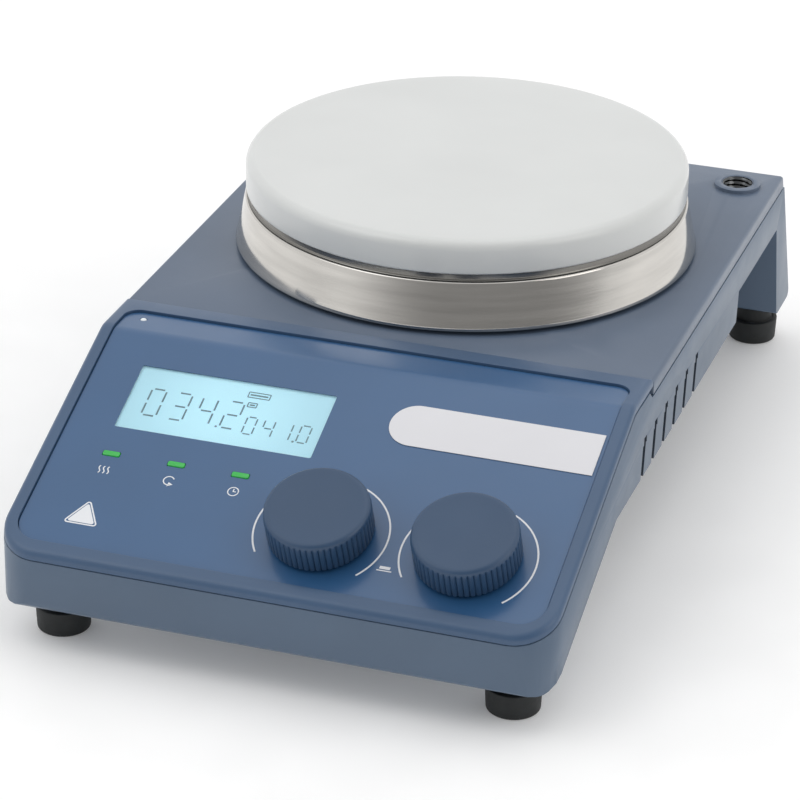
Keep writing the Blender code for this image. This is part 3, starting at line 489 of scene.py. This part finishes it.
def piece(name, bm, materials, stands_for=(), body=BODY, matrix=None,
          bevel=0.0, segments=2, angle=32.0, sharp=35.0):
    """Places a finished shape: scaled to metres, bevelled, riding on its body."""
    if matrix is not None:
        bm.transform(matrix)
    bm.transform(Matrix.Scale(MM, 4))
    mesh = bpy.data.meshes.new(name)
    bm.to_mesh(mesh)
    bm.free()
    mesh.shade_smooth()
    if not bevel:
        mesh.set_sharp_from_angle(angle=math.radians(sharp))
    for mat in (materials if isinstance(materials, (list, tuple)) else [materials]):
        mesh.materials.append(mat)
    obj = bpy.data.objects.new(name, mesh)
    bpy.context.scene.collection.objects.link(obj)
    if bevel:
        edge = obj.modifiers.new("edges", "BEVEL")
        edge.width, edge.segments = bevel * MM, segments
        edge.limit_method, edge.angle_limit = "ANGLE", math.radians(angle)
        edge.harden_normals = True
        edge.miter_outer = "MITER_ARC"
    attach(obj, body)
    if stands_for:
        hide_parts(*stands_for)
    return obj


def cad_shape(node):
    """The CAD node's shape as a clean bmesh in millimetres."""
    bm = bmesh.new()
    bm.from_mesh(NODES[node].data)
    bm.transform(Matrix.Scale(1.0 / MM, 4))
    bmesh.ops.remove_doubles(bm, verts=bm.verts, dist=0.002)
    bmesh.ops.dissolve_limit(bm, angle_limit=0.004, verts=bm.verts, edges=bm.edges)
    bmesh.ops.recalc_face_normals(bm, faces=bm.faces)
    return bm


# ------------------------------------------------------------- frames of work
def rear_y(z):
    """Y of the outer rear wall at a height."""
    return TOP_REAR_Y + (TOP_Z - z) / math.tan(REAR_LEAN)


REAR_OUT = Vector((0, math.sin(REAR_LEAN), math.cos(REAR_LEAN)))
REAR = Matrix.Translation((0, rear_y(REAR_ORIGIN_Z), REAR_ORIGIN_Z)) @ Matrix((
    (-1, 0, 0), (0, -REAR_OUT.z, REAR_OUT.y), (0, REAR_OUT.y, REAR_OUT.z))).to_4x4()


def slope_z(y, below_frame):
    """Height of a line parallel to the bezel's top, some way under it."""
    top = OVERLAY_Z + FRAME_RISE
    return top - max(0.0, BEND_Y - y) * math.tan(PANEL_TILT) - below_frame


# -------------------------------------------------------------------- casing
def casing():
    """Lower housing, cover and floor tray."""
    shell = cad_shape("lower_housing")
    # Walls of the vent slots take the near-black painted shade.
    for face in shell.faces:
        middle = face.calc_center_median()
        across = abs(face.normal.y) > 0.99 and abs(middle.x) > HALF_WIDTH - 3.0
        if across and middle.z < SLOT_TOP_Z and SLOT_Y[0] < middle.y < SLOT_Y[1]:
            face.material_index = 1
    # The housing takes the darker copy of the paint, painted shade; the cover below takes the lighter copy,
    # painted light.
    piece("housing_shell", shell, [SHADED_SIDE_PAINT, SLOT_SHADE_PAINT], ["lower_housing"],
          bevel=0.25, segments=2)
    piece("floor_tray", cad_shape("bottom_cover"), BLACK, ["bottom_cover"],
          bevel=0.4)
    piece("cover_shell", cad_shape("top_cover"), LIT_TOP_PAINT, ["top_cover"],
          bevel=0.2, segments=2)


def threaded_socket():
    """M10 sleeve in the collar whose bore carries a real helical thread."""
    around, rows = 64, 116
    bm = bmesh.new()

    def ring(radius, z):
        points = []
        for i in range(around):
            r, a = radius(i, z), 2 * math.pi * i / around
            points.append(bm.verts.new((ROD[0] + r * math.cos(a), ROD[1] + r * math.sin(a), z)))
        return points

    def thread(i, z):
        lead_in = max(0.0, z - ROD_TOP_Z + 0.5)
        turn = (z / THREAD_PITCH - i / around) % 1.0
        cut = max(0.0, THREAD_DEPTH - lead_in) * (1.0 - abs(2.0 * turn - 1.0))
        return ROD_THREAD_R + lead_in + cut

    loops = [ring(thread, ROD_LOW_Z + (ROD_TOP_Z - ROD_LOW_Z) * k / rows) for k in range(rows + 1)]
    outside = ((ROD_NECK_R, ROD_TOP_Z), (ROD_NECK_R, ROD_SHOULDER_Z),
               (ROD_FLANGE_R, ROD_SHOULDER_Z), (ROD_FLANGE_R, ROD_LOW_Z))
    loops += [ring(lambda i, z, r=r: r, z) for r, z in outside]
    for a, b in zip(loops, loops[1:] + loops[:1]):
        bridge(bm, a, b)
    bmesh.ops.recalc_face_normals(bm, faces=bm.faces)
    # The sleeve's top face takes the cover's lighter copy of the paint, which carries painted light.
    for face in bm.faces:
        if face.normal.z > 0.9 and face.calc_center_median().z > ROD_TOP_Z - 0.1:
            face.material_index = 1
    piece("threaded_socket", bm, [BLACKENED, LIT_TOP_PAINT], ["rod_socket"])


def feet():
    """Rubber feet: a narrow neck, a crisp upper rim and a softer lower edge."""
    for node in ("foot_front_left", "foot_front_right", "foot_rear_left", "foot_rear_right"):
        low, high = box(node)
        x, y = (low.x + high.x) / 2, (low.y + high.y) / 2
        r = (high.x - low.x) / 2
        shape = rounded([
            (FOOT_NECK_R, high.z, 0.3), (SCREW_R, high.z, 0), (SCREW_R, RECESS_DEPTH, 0),
            (RECESS_R, RECESS_DEPTH, 0), (RECESS_R, 0.0, 0.4), (r - 0.35, 0.0, 0.9),
            (r, FOOT_HEIGHT, 0.4), (r - 1.1, FOOT_HEIGHT, 0.2), (r - 1.4, FOOT_HEIGHT - 0.35, 0.2),
            (FOOT_NECK_R, FOOT_HEIGHT - 0.35, 0.5)], 5)
        piece(node + "_rubber", turned(shape, 72, (x, y)), RUBBER, [node])


# ------------------------------------------------------------- control panel
WHOLE_Z = (20.0, 80.0)                         # reaches well past the panel
LAMP_CUT_Z = (50.0, 70.0)
BEZEL_CUT, FILM_CUT = (-8.0, 2.0), (-3.0, 2.0)     # along the panel's normal


def bent_slab(top, drop, front, back, half, front_corner, back_corner):
    """Slab that follows the flat strip and the slope with a soft bend, rounded in plan."""
    outline = rounded([
        (front - 1.0, slope_z(front - 1.0, drop), 0), (front - 1.0, slope_z(front - 1.0, top), 0),
        (BEND_Y, slope_z(BEND_Y, top), BEND_R), (back + 1.0, slope_z(back, top), 0),
        (back + 1.0, slope_z(back, drop), 0), (BEND_Y, slope_z(BEND_Y, drop), BEND_R - 1.0)], 8)
    plan = rounded([(-half, front, front_corner), (half, front, front_corner),
                    (half, back, back_corner), (-half, back, back_corner)], 12)
    return carve(side_prism(outline, -half - 1.0, half + 1.0), [prism(plan, *WHOLE_Z)],
                 "INTERSECT")


def overlay_block(depth, height, margin):
    """Bent sheet of the overlay's outline, from depth under its face upwards."""
    return bent_slab(FRAME_RISE - height, FRAME_RISE + depth,
                     BEND_Y - (OVERLAY_END + margin) * math.cos(PANEL_TILT), OVERLAY_BACK_Y + margin,
                     OVERLAY_HALF + margin, OVERLAY_CORNERS["front"] + margin,
                     OVERLAY_CORNERS["back"] + margin)


def on_panel(bm):
    """Moves a shape from the panel frame to the row frame."""
    bm.transform(PANEL)
    return bm


def lamp_shape(u, margin, low, high):
    """Small upright rectangle of a lamp's light pipe."""
    half_u, half_v = LAMP_SIZE[0] / 2 + margin, LAMP_SIZE[1] / 2 + margin
    return prism(rectangle((u - half_u, u + half_u), (-LAMP_V - half_v, -LAMP_V + half_v), 0.45, 3),
                 low, high)


def power_lamp():
    """Plan position of the power lamp."""
    low, high = box("power_light_pipe")
    return (low.x + high.x) / 2, (low.y + high.y) / 2


def bezel_and_overlay():
    """Frame with its groove, and the printed overlay that lies in it."""
    slab_shape = bent_slab(0.0, BEZEL_DROP, FRONT_Y, RIDGE_Y, HALF_WIDTH, CORNER_R, 0.0)
    soften(slab_shape, 1.6, 5, upper_rim)
    x, y = power_lamp()
    holes = [on_panel(prism(rectangle((LCD_U[0] - 0.9, LCD_U[1] + 0.9),
                                      (-LCD_V[1] - 0.9, -LCD_V[0] + 0.9), 0.6), *BEZEL_CUT))]
    holes += [on_panel(disc_prism(SHAFT_HOLE_R, *BEZEL_CUT, u, -KNOB_V)) for u in KNOBS.values()]
    holes += [on_panel(lamp_shape(u, 0.25, *BEZEL_CUT)) for u in LAMPS.values()]
    holes.append(disc_prism(POWER_LENS_R + 0.2, *LAMP_CUT_Z, x, y, 20))
    bezel = carve(slab_shape, [overlay_block(0.6, 3.0, GROOVE), *holes])
    piece("bezel_frame", bezel, BEZEL_BLUE, ["control_bezel"],
          bevel=0.42, segments=3)

    windows = [on_panel(prism(rectangle(LCD_U, (-LCD_V[1], -LCD_V[0]), 0.5), *FILM_CUT))]
    windows += [on_panel(disc_prism(SHAFT_HOLE_R, *FILM_CUT, u, -KNOB_V)) for u in KNOBS.values()]
    windows += [on_panel(lamp_shape(u, 0.12, *FILM_CUT)) for u in LAMPS.values()]
    windows.append(disc_prism(POWER_LENS_R + 0.15, *LAMP_CUT_Z, x, y, 20))
    film = carve(overlay_block(0.55, 0.0, 0.0), windows)
    piece("overlay_film", film, OVERLAY_BLUE, ["panel_overlay"],
          bevel=0.12, segments=2)


INK = 0.06                                     # printed layers stand this far up


def stroke(points, width, low=0.0, high=INK):
    """Flat printed line along points, with square ends."""
    sides = []
    for i, point in enumerate(points):
        here = Vector(point)
        ahead = Vector(points[min(i + 1, len(points) - 1)]) - here
        back = here - Vector(points[max(i - 1, 0)])
        way = (ahead.normalized() + back.normalized()).normalized()
        normal = Vector((-way.y, way.x))
        reach = width / 2
        if ahead.length and back.length:
            reach /= max(0.5, math.cos(ahead.angle(back) / 2))
        sides.append([here + normal * reach, here - normal * reach])
    outline = [a for a, _ in sides] + [b for _, b in reversed(sides)]
    return prism([tuple(p) for p in outline], low, high)


def closed_stroke(corners, width, radius):
    """Outline of a rounded polygon as a ring-shaped print."""
    outer = rounded([(x, y, radius) for x, y in corners], 4)
    centre = sum((Vector(c) for c in corners), Vector((0, 0))) / len(corners)
    bm = bmesh.new()
    rings = []
    for z in (0.0, INK):
        for inside in (False, True):
            ring = []
            for i, p in enumerate(outer):
                here = Vector(p)
                if inside:
                    ahead = Vector(outer[(i + 1) % len(outer)]) - Vector(outer[i - 1])
                    normal = Vector((-ahead.y, ahead.x)).normalized()
                    if normal.dot(centre - here) < 0:
                        normal = -normal
                    here = here + normal * width
                ring.append(bm.verts.new((here.x, here.y, z)))
            rings.append(ring)
    low_out, low_in, high_out, high_in = rings
    for a, b in ((low_out, low_in), (low_in, high_in), (high_in, high_out), (high_out, low_out)):
        bridge(bm, a, b)
    bmesh.ops.recalc_face_normals(bm, faces=bm.faces)
    return bm


def knob_arcs():
    """Printed arcs left and right of each knob."""
    spans = {"heat": ((152.0, 214.0), (-42.0, 67.0)), "stir": ((150.0, 214.0), (-45.0, 64.0))}
    marks = []
    for name, u in KNOBS.items():
        for start, end in spans[name]:
            marks.append(stroke(arc(u, -KNOB_V, SCALE_R, start, end, 40), 0.5))
    return marks


def heat_symbol(u, v):
    """Three rising waves."""
    return [stroke([(u + (k - 1) * 1.3 + 0.3 * math.sin(t * math.pi / 4), v - 1.3 + 2.6 * t / 8)
                    for t in range(9)], 0.32) for k in range(3)]


def stir_symbol(u, v):
    """Open ring with an arrow head."""
    head = [(u, v - 2.1), (u + 1.55, v - 1.2), (u + 0.2, v - 0.55)]
    return [stroke(arc(u, v, 1.5, 30, 300, 20), 0.32), prism(head, 0.0, INK)]


def timer_symbol(u, v):
    """Clock face with two hands."""
    return [stroke(arc(u, v, 1.5, 0, 357, 28), 0.3),
            stroke([(u, v + 1.0), (u, v), (u + 0.8, v)], 0.3)]


def plain_triangle(u, v, side):
    """Pale triangle without a sign, inside a thin outline."""
    rise = side * math.sqrt(3) / 2
    corners = [(u - side / 2, v - rise / 3), (u + side / 2, v - rise / 3), (u, v + rise * 2 / 3)]
    inner = [(u + 0.78 * (x - u), v + 0.78 * (y - v), 0.5) for x, y in corners]
    return [closed_stroke(corners, 0.42, 0.8), prism(rounded(inner), 0.0, INK)]


def push_symbol(u, v):
    """Raised button over a line."""
    return [prism(rectangle((u - 1.5, u + 1.5), (v + 0.55, v + 1.5)), 0.0, INK),
            stroke([(u - 2.1, v), (u + 2.1, v)], 0.34)]


def symbols():
    """Plain marks: three functions, a triangle and a push button."""
    return [*heat_symbol(LAMPS["heat"], -SYMBOL_V), *stir_symbol(LAMPS["stir"], -SYMBOL_V),
            *timer_symbol(LAMPS["timer"], -SYMBOL_V), *plain_triangle(*TRIANGLE, TRIANGLE_SIDE),
            *push_symbol(*PUSH_MARK)]


def panel_prints():
    """White ink on the overlay, and the blank badge strip."""
    piece("panel_print", joined(*knob_arcs(), *symbols()), INK_WHITE,
          matrix=PANEL)
    middle = (STRIP_V[0] + STRIP_V[1]) / 2
    round_r = (STRIP_V[1] - STRIP_V[0]) / 2
    badge = arc(STRIP_U[0] + round_r, -middle, round_r, 90, 270, 40)
    badge += [(STRIP_U[1], -STRIP_V[1]), (STRIP_U[1], -STRIP_V[0])]
    piece("badge_strip", prism(badge, 0.05, 0.25), LABEL_GREY, ["label_strip"],
          matrix=PANEL, bevel=0.06)


SEGMENTS = {"0": "abcdef", "1": "bc", "2": "abged", "3": "abgcd", "4": "fgbc"}


def digit(symbol, u, v, width, height, thick):
    """Seven-segment numeral whose top left corner is at (u, -v)."""
    bars = []
    half = height / 2
    for name in SEGMENTS[symbol]:
        if name in "adg":
            y = -v - {"a": 0.0, "g": half, "d": height}[name]
            bars.append([(u + 0.16 * width, y), (u + 0.84 * width, y)])
        else:
            x = u + (width if name in "bc" else 0.0)
            top = -v - (0.0 if name in "bf" else half)
            bars.append([(x, top - 0.12 * half), (x, top - 0.88 * half)])
    return [stroke(bar, thick, LCD_FACE, LCD_FACE + INK) for bar in bars]


# Rows of numerals: text, first corner and step as shares of the lit area, size,
# line width, and the decimal point before the last numeral.
NUMERALS = (
    ("0342", (0.095, 0.315), 0.134, (4.4, 10.0), 0.5, (-0.016, 0.735)),
    ("0410", (0.615, 0.51), 0.092, (3.0, 6.3), 0.4, (-0.014, 0.775)),
)
# Small boxes with a bar in them: left, right, top and bottom as shares of the lit area.
BOXES = ((0.567, 0.682, 0.12, 0.215), (0.585, 0.635, 0.285, 0.365))


def on_display(u, v):
    """Panel coordinates of a share of the lit area's width and height."""
    return LCD_U[0] + (LCD_U[1] - LCD_U[0]) * u, LCD_V[0] + (LCD_V[1] - LCD_V[0]) * v


def numerals():
    """Generic seven-segment numbers with their decimal points."""
    bars, dots = [], []
    for text, (u, v), step, size, thick, (dot_u, dot_v) in NUMERALS:
        for i, symbol in enumerate(text):
            bars += digit(symbol, *on_display(u + step * i, v), *size, thick)
        x, y = on_display(u + step * (len(text) - 1) + dot_u, dot_v)
        dots.append(disc_prism(0.35, LCD_FACE, LCD_FACE + INK, x, -y, 12))
    return bars + dots


def small_boxes():
    """Outlined boxes that hold a plain bar."""
    marks = []
    for u0, u1, v0, v1 in BOXES:
        (x0, y1), (x1, y0) = on_display(u0, v0), on_display(u1, v1)
        frame_print = closed_stroke([(x0, -y0), (x1, -y0), (x1, -y1), (x0, -y1)], 0.3, 0.3)
        frame_print.transform(Matrix.Translation((0, 0, LCD_FACE)))
        middle = -(y0 + y1) / 2
        marks += [frame_print, stroke([(x0 + 0.7, middle), (x1 - 0.7, middle)],
                                      0.5, LCD_FACE, LCD_FACE + INK)]
    return marks


def display():
    """Module with its case, backlit face, generic numerals and the clear window."""
    low_v, high_v = -LCD_V[1], -LCD_V[0]
    case = prism(rectangle((LCD_U[0] - 4.0, LCD_U[1] + 4.0), (low_v - 3.0, high_v + 3.0), 1.0),
                 -9.0, -4.0)
    piece("display_case", case, PLAIN_STEEL, ["lcd_module"], matrix=PANEL,
          bevel=0.25)
    cell = prism(rectangle((LCD_U[0] - 0.8, LCD_U[1] + 0.8), (low_v - 0.8, high_v + 0.8), 0.3),
                 -3.4, LCD_FACE)
    piece("display_cell", cell, LCD_LIT, matrix=PANEL, bevel=0.1)
    piece("display_segments", joined(*numerals(), *small_boxes()), LCD_INK,
          matrix=PANEL)
    window = prism(rectangle((LCD_U[0] + 0.03, LCD_U[1] - 0.03), (low_v + 0.03, high_v - 0.03),
                             0.45), -0.5, -0.02)
    piece("display_window", window, GLASS, ["lcd_window"], matrix=PANEL,
          bevel=0.08)


def lamps():
    """Lenses of the light pipes, slightly domed."""
    for name, u in LAMPS.items():
        lens = soften(lamp_shape(u, 0.0, *LIGHT_PIPE), 0.25, 3,
                      lambda e: min(v.co.z for v in e.verts) > 0.2)
        piece(name + "_lens", lens, LAMP, [name + "_light_pipe"], matrix=PANEL)
    x, y = power_lamp()
    low, high = box("power_light_pipe")
    lens = turned([(0.0, high.z + 0.18), (0.5, high.z + 0.12), (POWER_LENS_R, high.z - 0.15),
                   (POWER_LENS_R, low.z), (0.0, low.z)], 24, (x, y))
    piece("power_lens", lens, PALE_LENS, ["power_light_pipe"])


def knob_side(angle):
    """Radius of the ribbed side at an angle: round ribs with narrow grooves."""
    phase = (angle * KNOB_RIBS / (2 * math.pi)) % 1.0
    return KNOB_R - RIB_DEPTH * (1.0 - math.sqrt(max(0.0, 1.0 - (2.0 * phase - 1.0) ** 2)))


def knob(name):
    """Ribbed knob with a rounded rim and a slightly dished face."""
    around = KNOB_RIBS * 8
    # height, inset from the ribbed side, and how much of the rib shows
    levels = [(KNOB_LOW, 0.5, 0.6), (KNOB_LOW + 0.25, 0.15, 1.0), (KNOB_LOW + 0.6, 0.0, 1.0),
              (KNOB_HIGH - 2.0, 0.0, 1.0), (KNOB_HIGH - 1.6, 0.04, 0.8), (KNOB_HIGH - 1.3, 0.12, 0.25),
              (KNOB_HIGH - 1.05, 0.2, 0.0), (KNOB_HIGH - 0.7, 0.35, 0.0), (KNOB_HIGH - 0.4, 0.6, 0.0),
              (KNOB_HIGH - 0.16, 0.95, 0.0), (KNOB_HIGH - 0.03, 1.35, 0.0), (KNOB_HIGH, 1.8, 0.0),
              (KNOB_HIGH - 0.05, 2.4, 0.0), (KNOB_HIGH - 0.12, 5.0, 0.0)]
    bm = bmesh.new()
    rings = []
    for z, inset, rib in levels:
        ring = []
        for i in range(around):
            a = 2 * math.pi * i / around
            r = KNOB_R - inset - (KNOB_R - knob_side(a)) * rib
            ring.append(bm.verts.new((r * math.cos(a), r * math.sin(a), z)))
        rings.append(ring)
    for a, b in zip(rings, rings[1:]):
        bridge(bm, a, b)
    bm.faces.new(rings[-1])
    bore = [[bm.verts.new((KNOB_BORE_R * math.cos(2 * math.pi * i / around),
                           KNOB_BORE_R * math.sin(2 * math.pi * i / around), z))
             for i in range(around)] for z in (KNOB_LOW, KNOB_BORE_TOP)]
    bridge(bm, rings[0], bore[0])
    bridge(bm, bore[0], bore[1])
    bm.faces.new(bore[1])
    bmesh.ops.recalc_face_normals(bm, faces=bm.faces)
    piece(name + "_grip", bm, KNOB_BLUE, [name + "_knob"], name + "_control",
          PANEL @ Matrix.Translation((KNOBS[name], -KNOB_V, 0)), sharp=50.0)


# -------------------------------------------------------------- heating plate
def heating_plate():
    """Glazed disc and the spun steel skirt under it."""
    high, low = DISC_HIGH.z, DISC_LOW.z
    top = [(0.0, high), (30.0, high), (60.0, high)]
    top += arc(DISC_R - 3.0, high - 3.0, 3.0, 90, 0, 12)
    top += arc(DISC_R - 0.8, low + 0.8, 0.8, 0, -90, 6)
    top += [(60.0, low), (0.0, low)]
    piece("ceramic_top", turned(top, 160, PLATE), CERAMIC, ["hotplate_disc"],
          sharp=60.0)

    under = low - 0.3
    outline = [(DISC_R - 1.0, under)]
    outline += arc(DISC_R - 0.2, SHOULDER_Z + 0.9, 0.8, 180, 250, 6)
    outline += arc(DISC_R - 0.45, SHOULDER_Z - 0.6, 0.75, 85, 12, 6)
    outline += [(SKIRT_R - 0.25, SKIRT_LOW_Z + 1.1)]
    outline += arc(SKIRT_R - 0.3, SKIRT_LOW_Z + 0.3, 0.3, 0, -90, 4)
    outline += [(SKIRT_R - 1.0, SKIRT_LOW_Z), (DISC_R - 1.2, SHOULDER_Z - 0.9),
                (DISC_R - 2.0, SHOULDER_Z - 0.4), (DISC_R - 2.0, under - 1.2),
                (SKIRT_BORE_R, under - 1.2), (SKIRT_BORE_R, under)]
    skirt = turned(outline, 192, PLATE)
    # The neck just under the disc takes the darker steel, which is painted shade and dark reflection.
    for face in skirt.faces:
        middle = face.calc_center_median()
        if middle.z > SHOULDER_Z + 0.1 and (middle.xy - Vector(PLATE)).length > DISC_R - 1.6:
            face.material_index = 1
    piece("steel_skirt", skirt, [STEEL, NECK_SHADE_STEEL], ["plate_skirt"],
          sharp=60.0)


# ------------------------------------------------------------ rear connectors
def rear_details():
    """Connectors with softened edges, and the pins in the data port."""
    for node, name, mat, slot, body in (
            ("power_inlet", "inlet_shell", BLACK, "black_plastic", BODY),
            ("rocker_frame", "switch_frame", BLACK, "black_plastic", BODY),
            ("fuse_drawer", "fuse_tray", BLACK, "black_plastic", "fuse_holder"),
            ("power_rocker", "switch_cap", SWITCH_RED, "switch_red", "rocker"),
            ("data_port", "port_shell", PLAIN_STEEL, "plain_steel", BODY),
            ("sensor_socket", "probe_socket", PLAIN_STEEL, "plain_steel", BODY),
            ("safety_adjuster", "trim_screw", BRASS, "brass", "adjuster")):
        piece(name, cad_shape(node), mat, [node], body, bevel=0.22, segments=2)
    pins = [turned([(0.0, 3.4), (0.35, 3.4), (0.5, 3.2), (0.5, -1.4), (0.0, -1.4)], 16,
                   (DATA_U + PIN_PITCH * (i - (count - 1) / 2), v))
            for count, v in PIN_ROWS for i in range(count)]
    piece("port_pins", joined(*pins), BRASS, matrix=REAR)


# ----------------------------------------------- CAD nodes that stay as they are
KEPT = {
    "circuit_board": BOARD, "plain_steel": PLAIN_STEEL, "plain_aluminium": ALUMINIUM,
    "heater_mica": MICA, "insulation": INSULATION, "winding": WINDING, "black_plastic": BLACK,
    "foot_rubber": RUBBER, "brass": BRASS, "polished_steel": STEEL,
}


def carried_over():
    """Procedural materials for the CAD nodes that are shown as packed."""
    slots = {part["node"]: part["material_slot"] for part in frame["record"]["subparts"]}
    for name, node in NODES.items():
        if node.hide_render:
            continue
        mat = MAGNET if "magnet_" in name or name == "motor_rotor" else KEPT[slots[name]]
        for holder in node.material_slots:
            holder.material = mat


# -------------------------------------------------------------------- studio
WORLD_BRIGHT, WORLD_DIM = 0.95, 0.3
OPEN_SIDE = (0.5, -0.85, 0.1)                  # towards the dimmer part of the room
# Lights in metres and watts: place, size, power, colour.
LIGHTS = {
    "key": ((-0.7, -0.5, 1.3), (0.9, 0.9), 2.5, (1.0, 1.0, 1.0)),
    "top": ((0.15, 0.35, 1.4), (1.2, 0.9), 2.0, (1.0, 1.0, 1.0)),
    "right": ((1.2, -0.3, 0.7), (0.7, 0.9), 2.6, (1.0, 0.97, 0.94)),
}
LIT_POINT = (0.0, 0.0, 0.05)
CAMERA_AT = (0.2979, -0.9270, 0.5039)
CAMERA_ANGLES = (18.18, 26.22, 0.83)           # azimuth, elevation and roll
CAMERA_LENS, CAMERA_SENSOR = 163.4, 36.0
CAMERA_SHIFT = (-0.0061, -0.0006)


def area_light(name, place, size, power, colour):
    """Rectangular soft light aimed at the object."""
    data = bpy.data.lights.new(name, "AREA")
    data.shape = "RECTANGLE"
    data.size, data.size_y = size
    data.energy = power
    data.color = colour
    light = bpy.data.objects.new(name, data)
    bpy.context.scene.collection.objects.link(light)
    light.location = place
    aim = Vector(LIT_POINT) - Vector(place)
    light.rotation_euler = aim.to_track_quat("-Z", "Y").to_euler()


def surroundings():
    """White studio that is dimmer towards the front right, where the room is open."""
    world = bpy.data.worlds.new("surroundings")
    bpy.context.scene.world = world
    world.use_nodes = True
    tree = world.node_tree
    coords = tree.nodes.new("ShaderNodeTexCoord")
    towards = tree.nodes.new("ShaderNodeVectorMath")
    towards.operation = "DOT_PRODUCT"
    towards.inputs[1].default_value = Vector(OPEN_SIDE).normalized()
    ramp = tree.nodes.new("ShaderNodeMapRange")
    ramp.interpolation_type = "SMOOTHSTEP"
    ramp.inputs["From Min"].default_value = 0.2
    ramp.inputs["From Max"].default_value = 0.95
    ramp.inputs["To Min"].default_value = WORLD_BRIGHT
    ramp.inputs["To Max"].default_value = WORLD_DIM
    tree.links.new(coords.outputs["Generated"], towards.inputs[0])
    tree.links.new(towards.outputs["Value"], ramp.inputs["Value"])
    background = tree.nodes["Background"]
    background.inputs["Color"].default_value = (1.0, 1.0, 1.0, 1.0)
    tree.links.new(ramp.outputs["Result"], background.inputs["Strength"])


def floor():
    """Wide pale floor."""
    bm = bmesh.new()
    bmesh.ops.create_grid(bm, x_segments=1, y_segments=1, size=6.0)
    mesh = bpy.data.meshes.new("floor")
    bm.to_mesh(mesh)
    bm.free()
    mesh.materials.append(glow("floor_pale", (244, 244, 244), 0.14, roughness=0.85))
    sheet = bpy.data.objects.new("floor", mesh)
    bpy.context.scene.collection.objects.link(sheet)


def camera():
    """Camera at the photograph's viewing angle."""
    az, el, roll = (math.radians(a) for a in CAMERA_ANGLES)
    back = Vector((math.sin(az) * math.cos(el), -math.cos(az) * math.cos(el), math.sin(el)))
    right = Vector((math.cos(az), math.sin(az), 0.0))
    up = back.cross(right)
    axes = Matrix((right * math.cos(roll) + up * math.sin(roll),
                   up * math.cos(roll) - right * math.sin(roll), back)).transposed()
    data = bpy.data.cameras.new("camera")
    data.sensor_width = CAMERA_SENSOR
    data.lens = CAMERA_LENS
    data.shift_x, data.shift_y = CAMERA_SHIFT
    eye = bpy.data.objects.new("camera", data)
    bpy.context.scene.collection.objects.link(eye)
    eye.matrix_world = Matrix.Translation(CAMERA_AT) @ axes.to_4x4()
    bpy.context.scene.camera = eye


def studio():
    """Pale floor, soft lights, pale surroundings and the camera."""
    floor()
    for name, settings in LIGHTS.items():
        area_light(name, *settings)
    surroundings()
    camera()
    bpy.context.scene.view_settings.view_transform = "Standard"


casing()
threaded_socket()
feet()
bezel_and_overlay()
panel_prints()
display()
lamps()
for control in KNOBS:
    knob(control)
heating_plate()
rear_details()
carried_over()
studio()
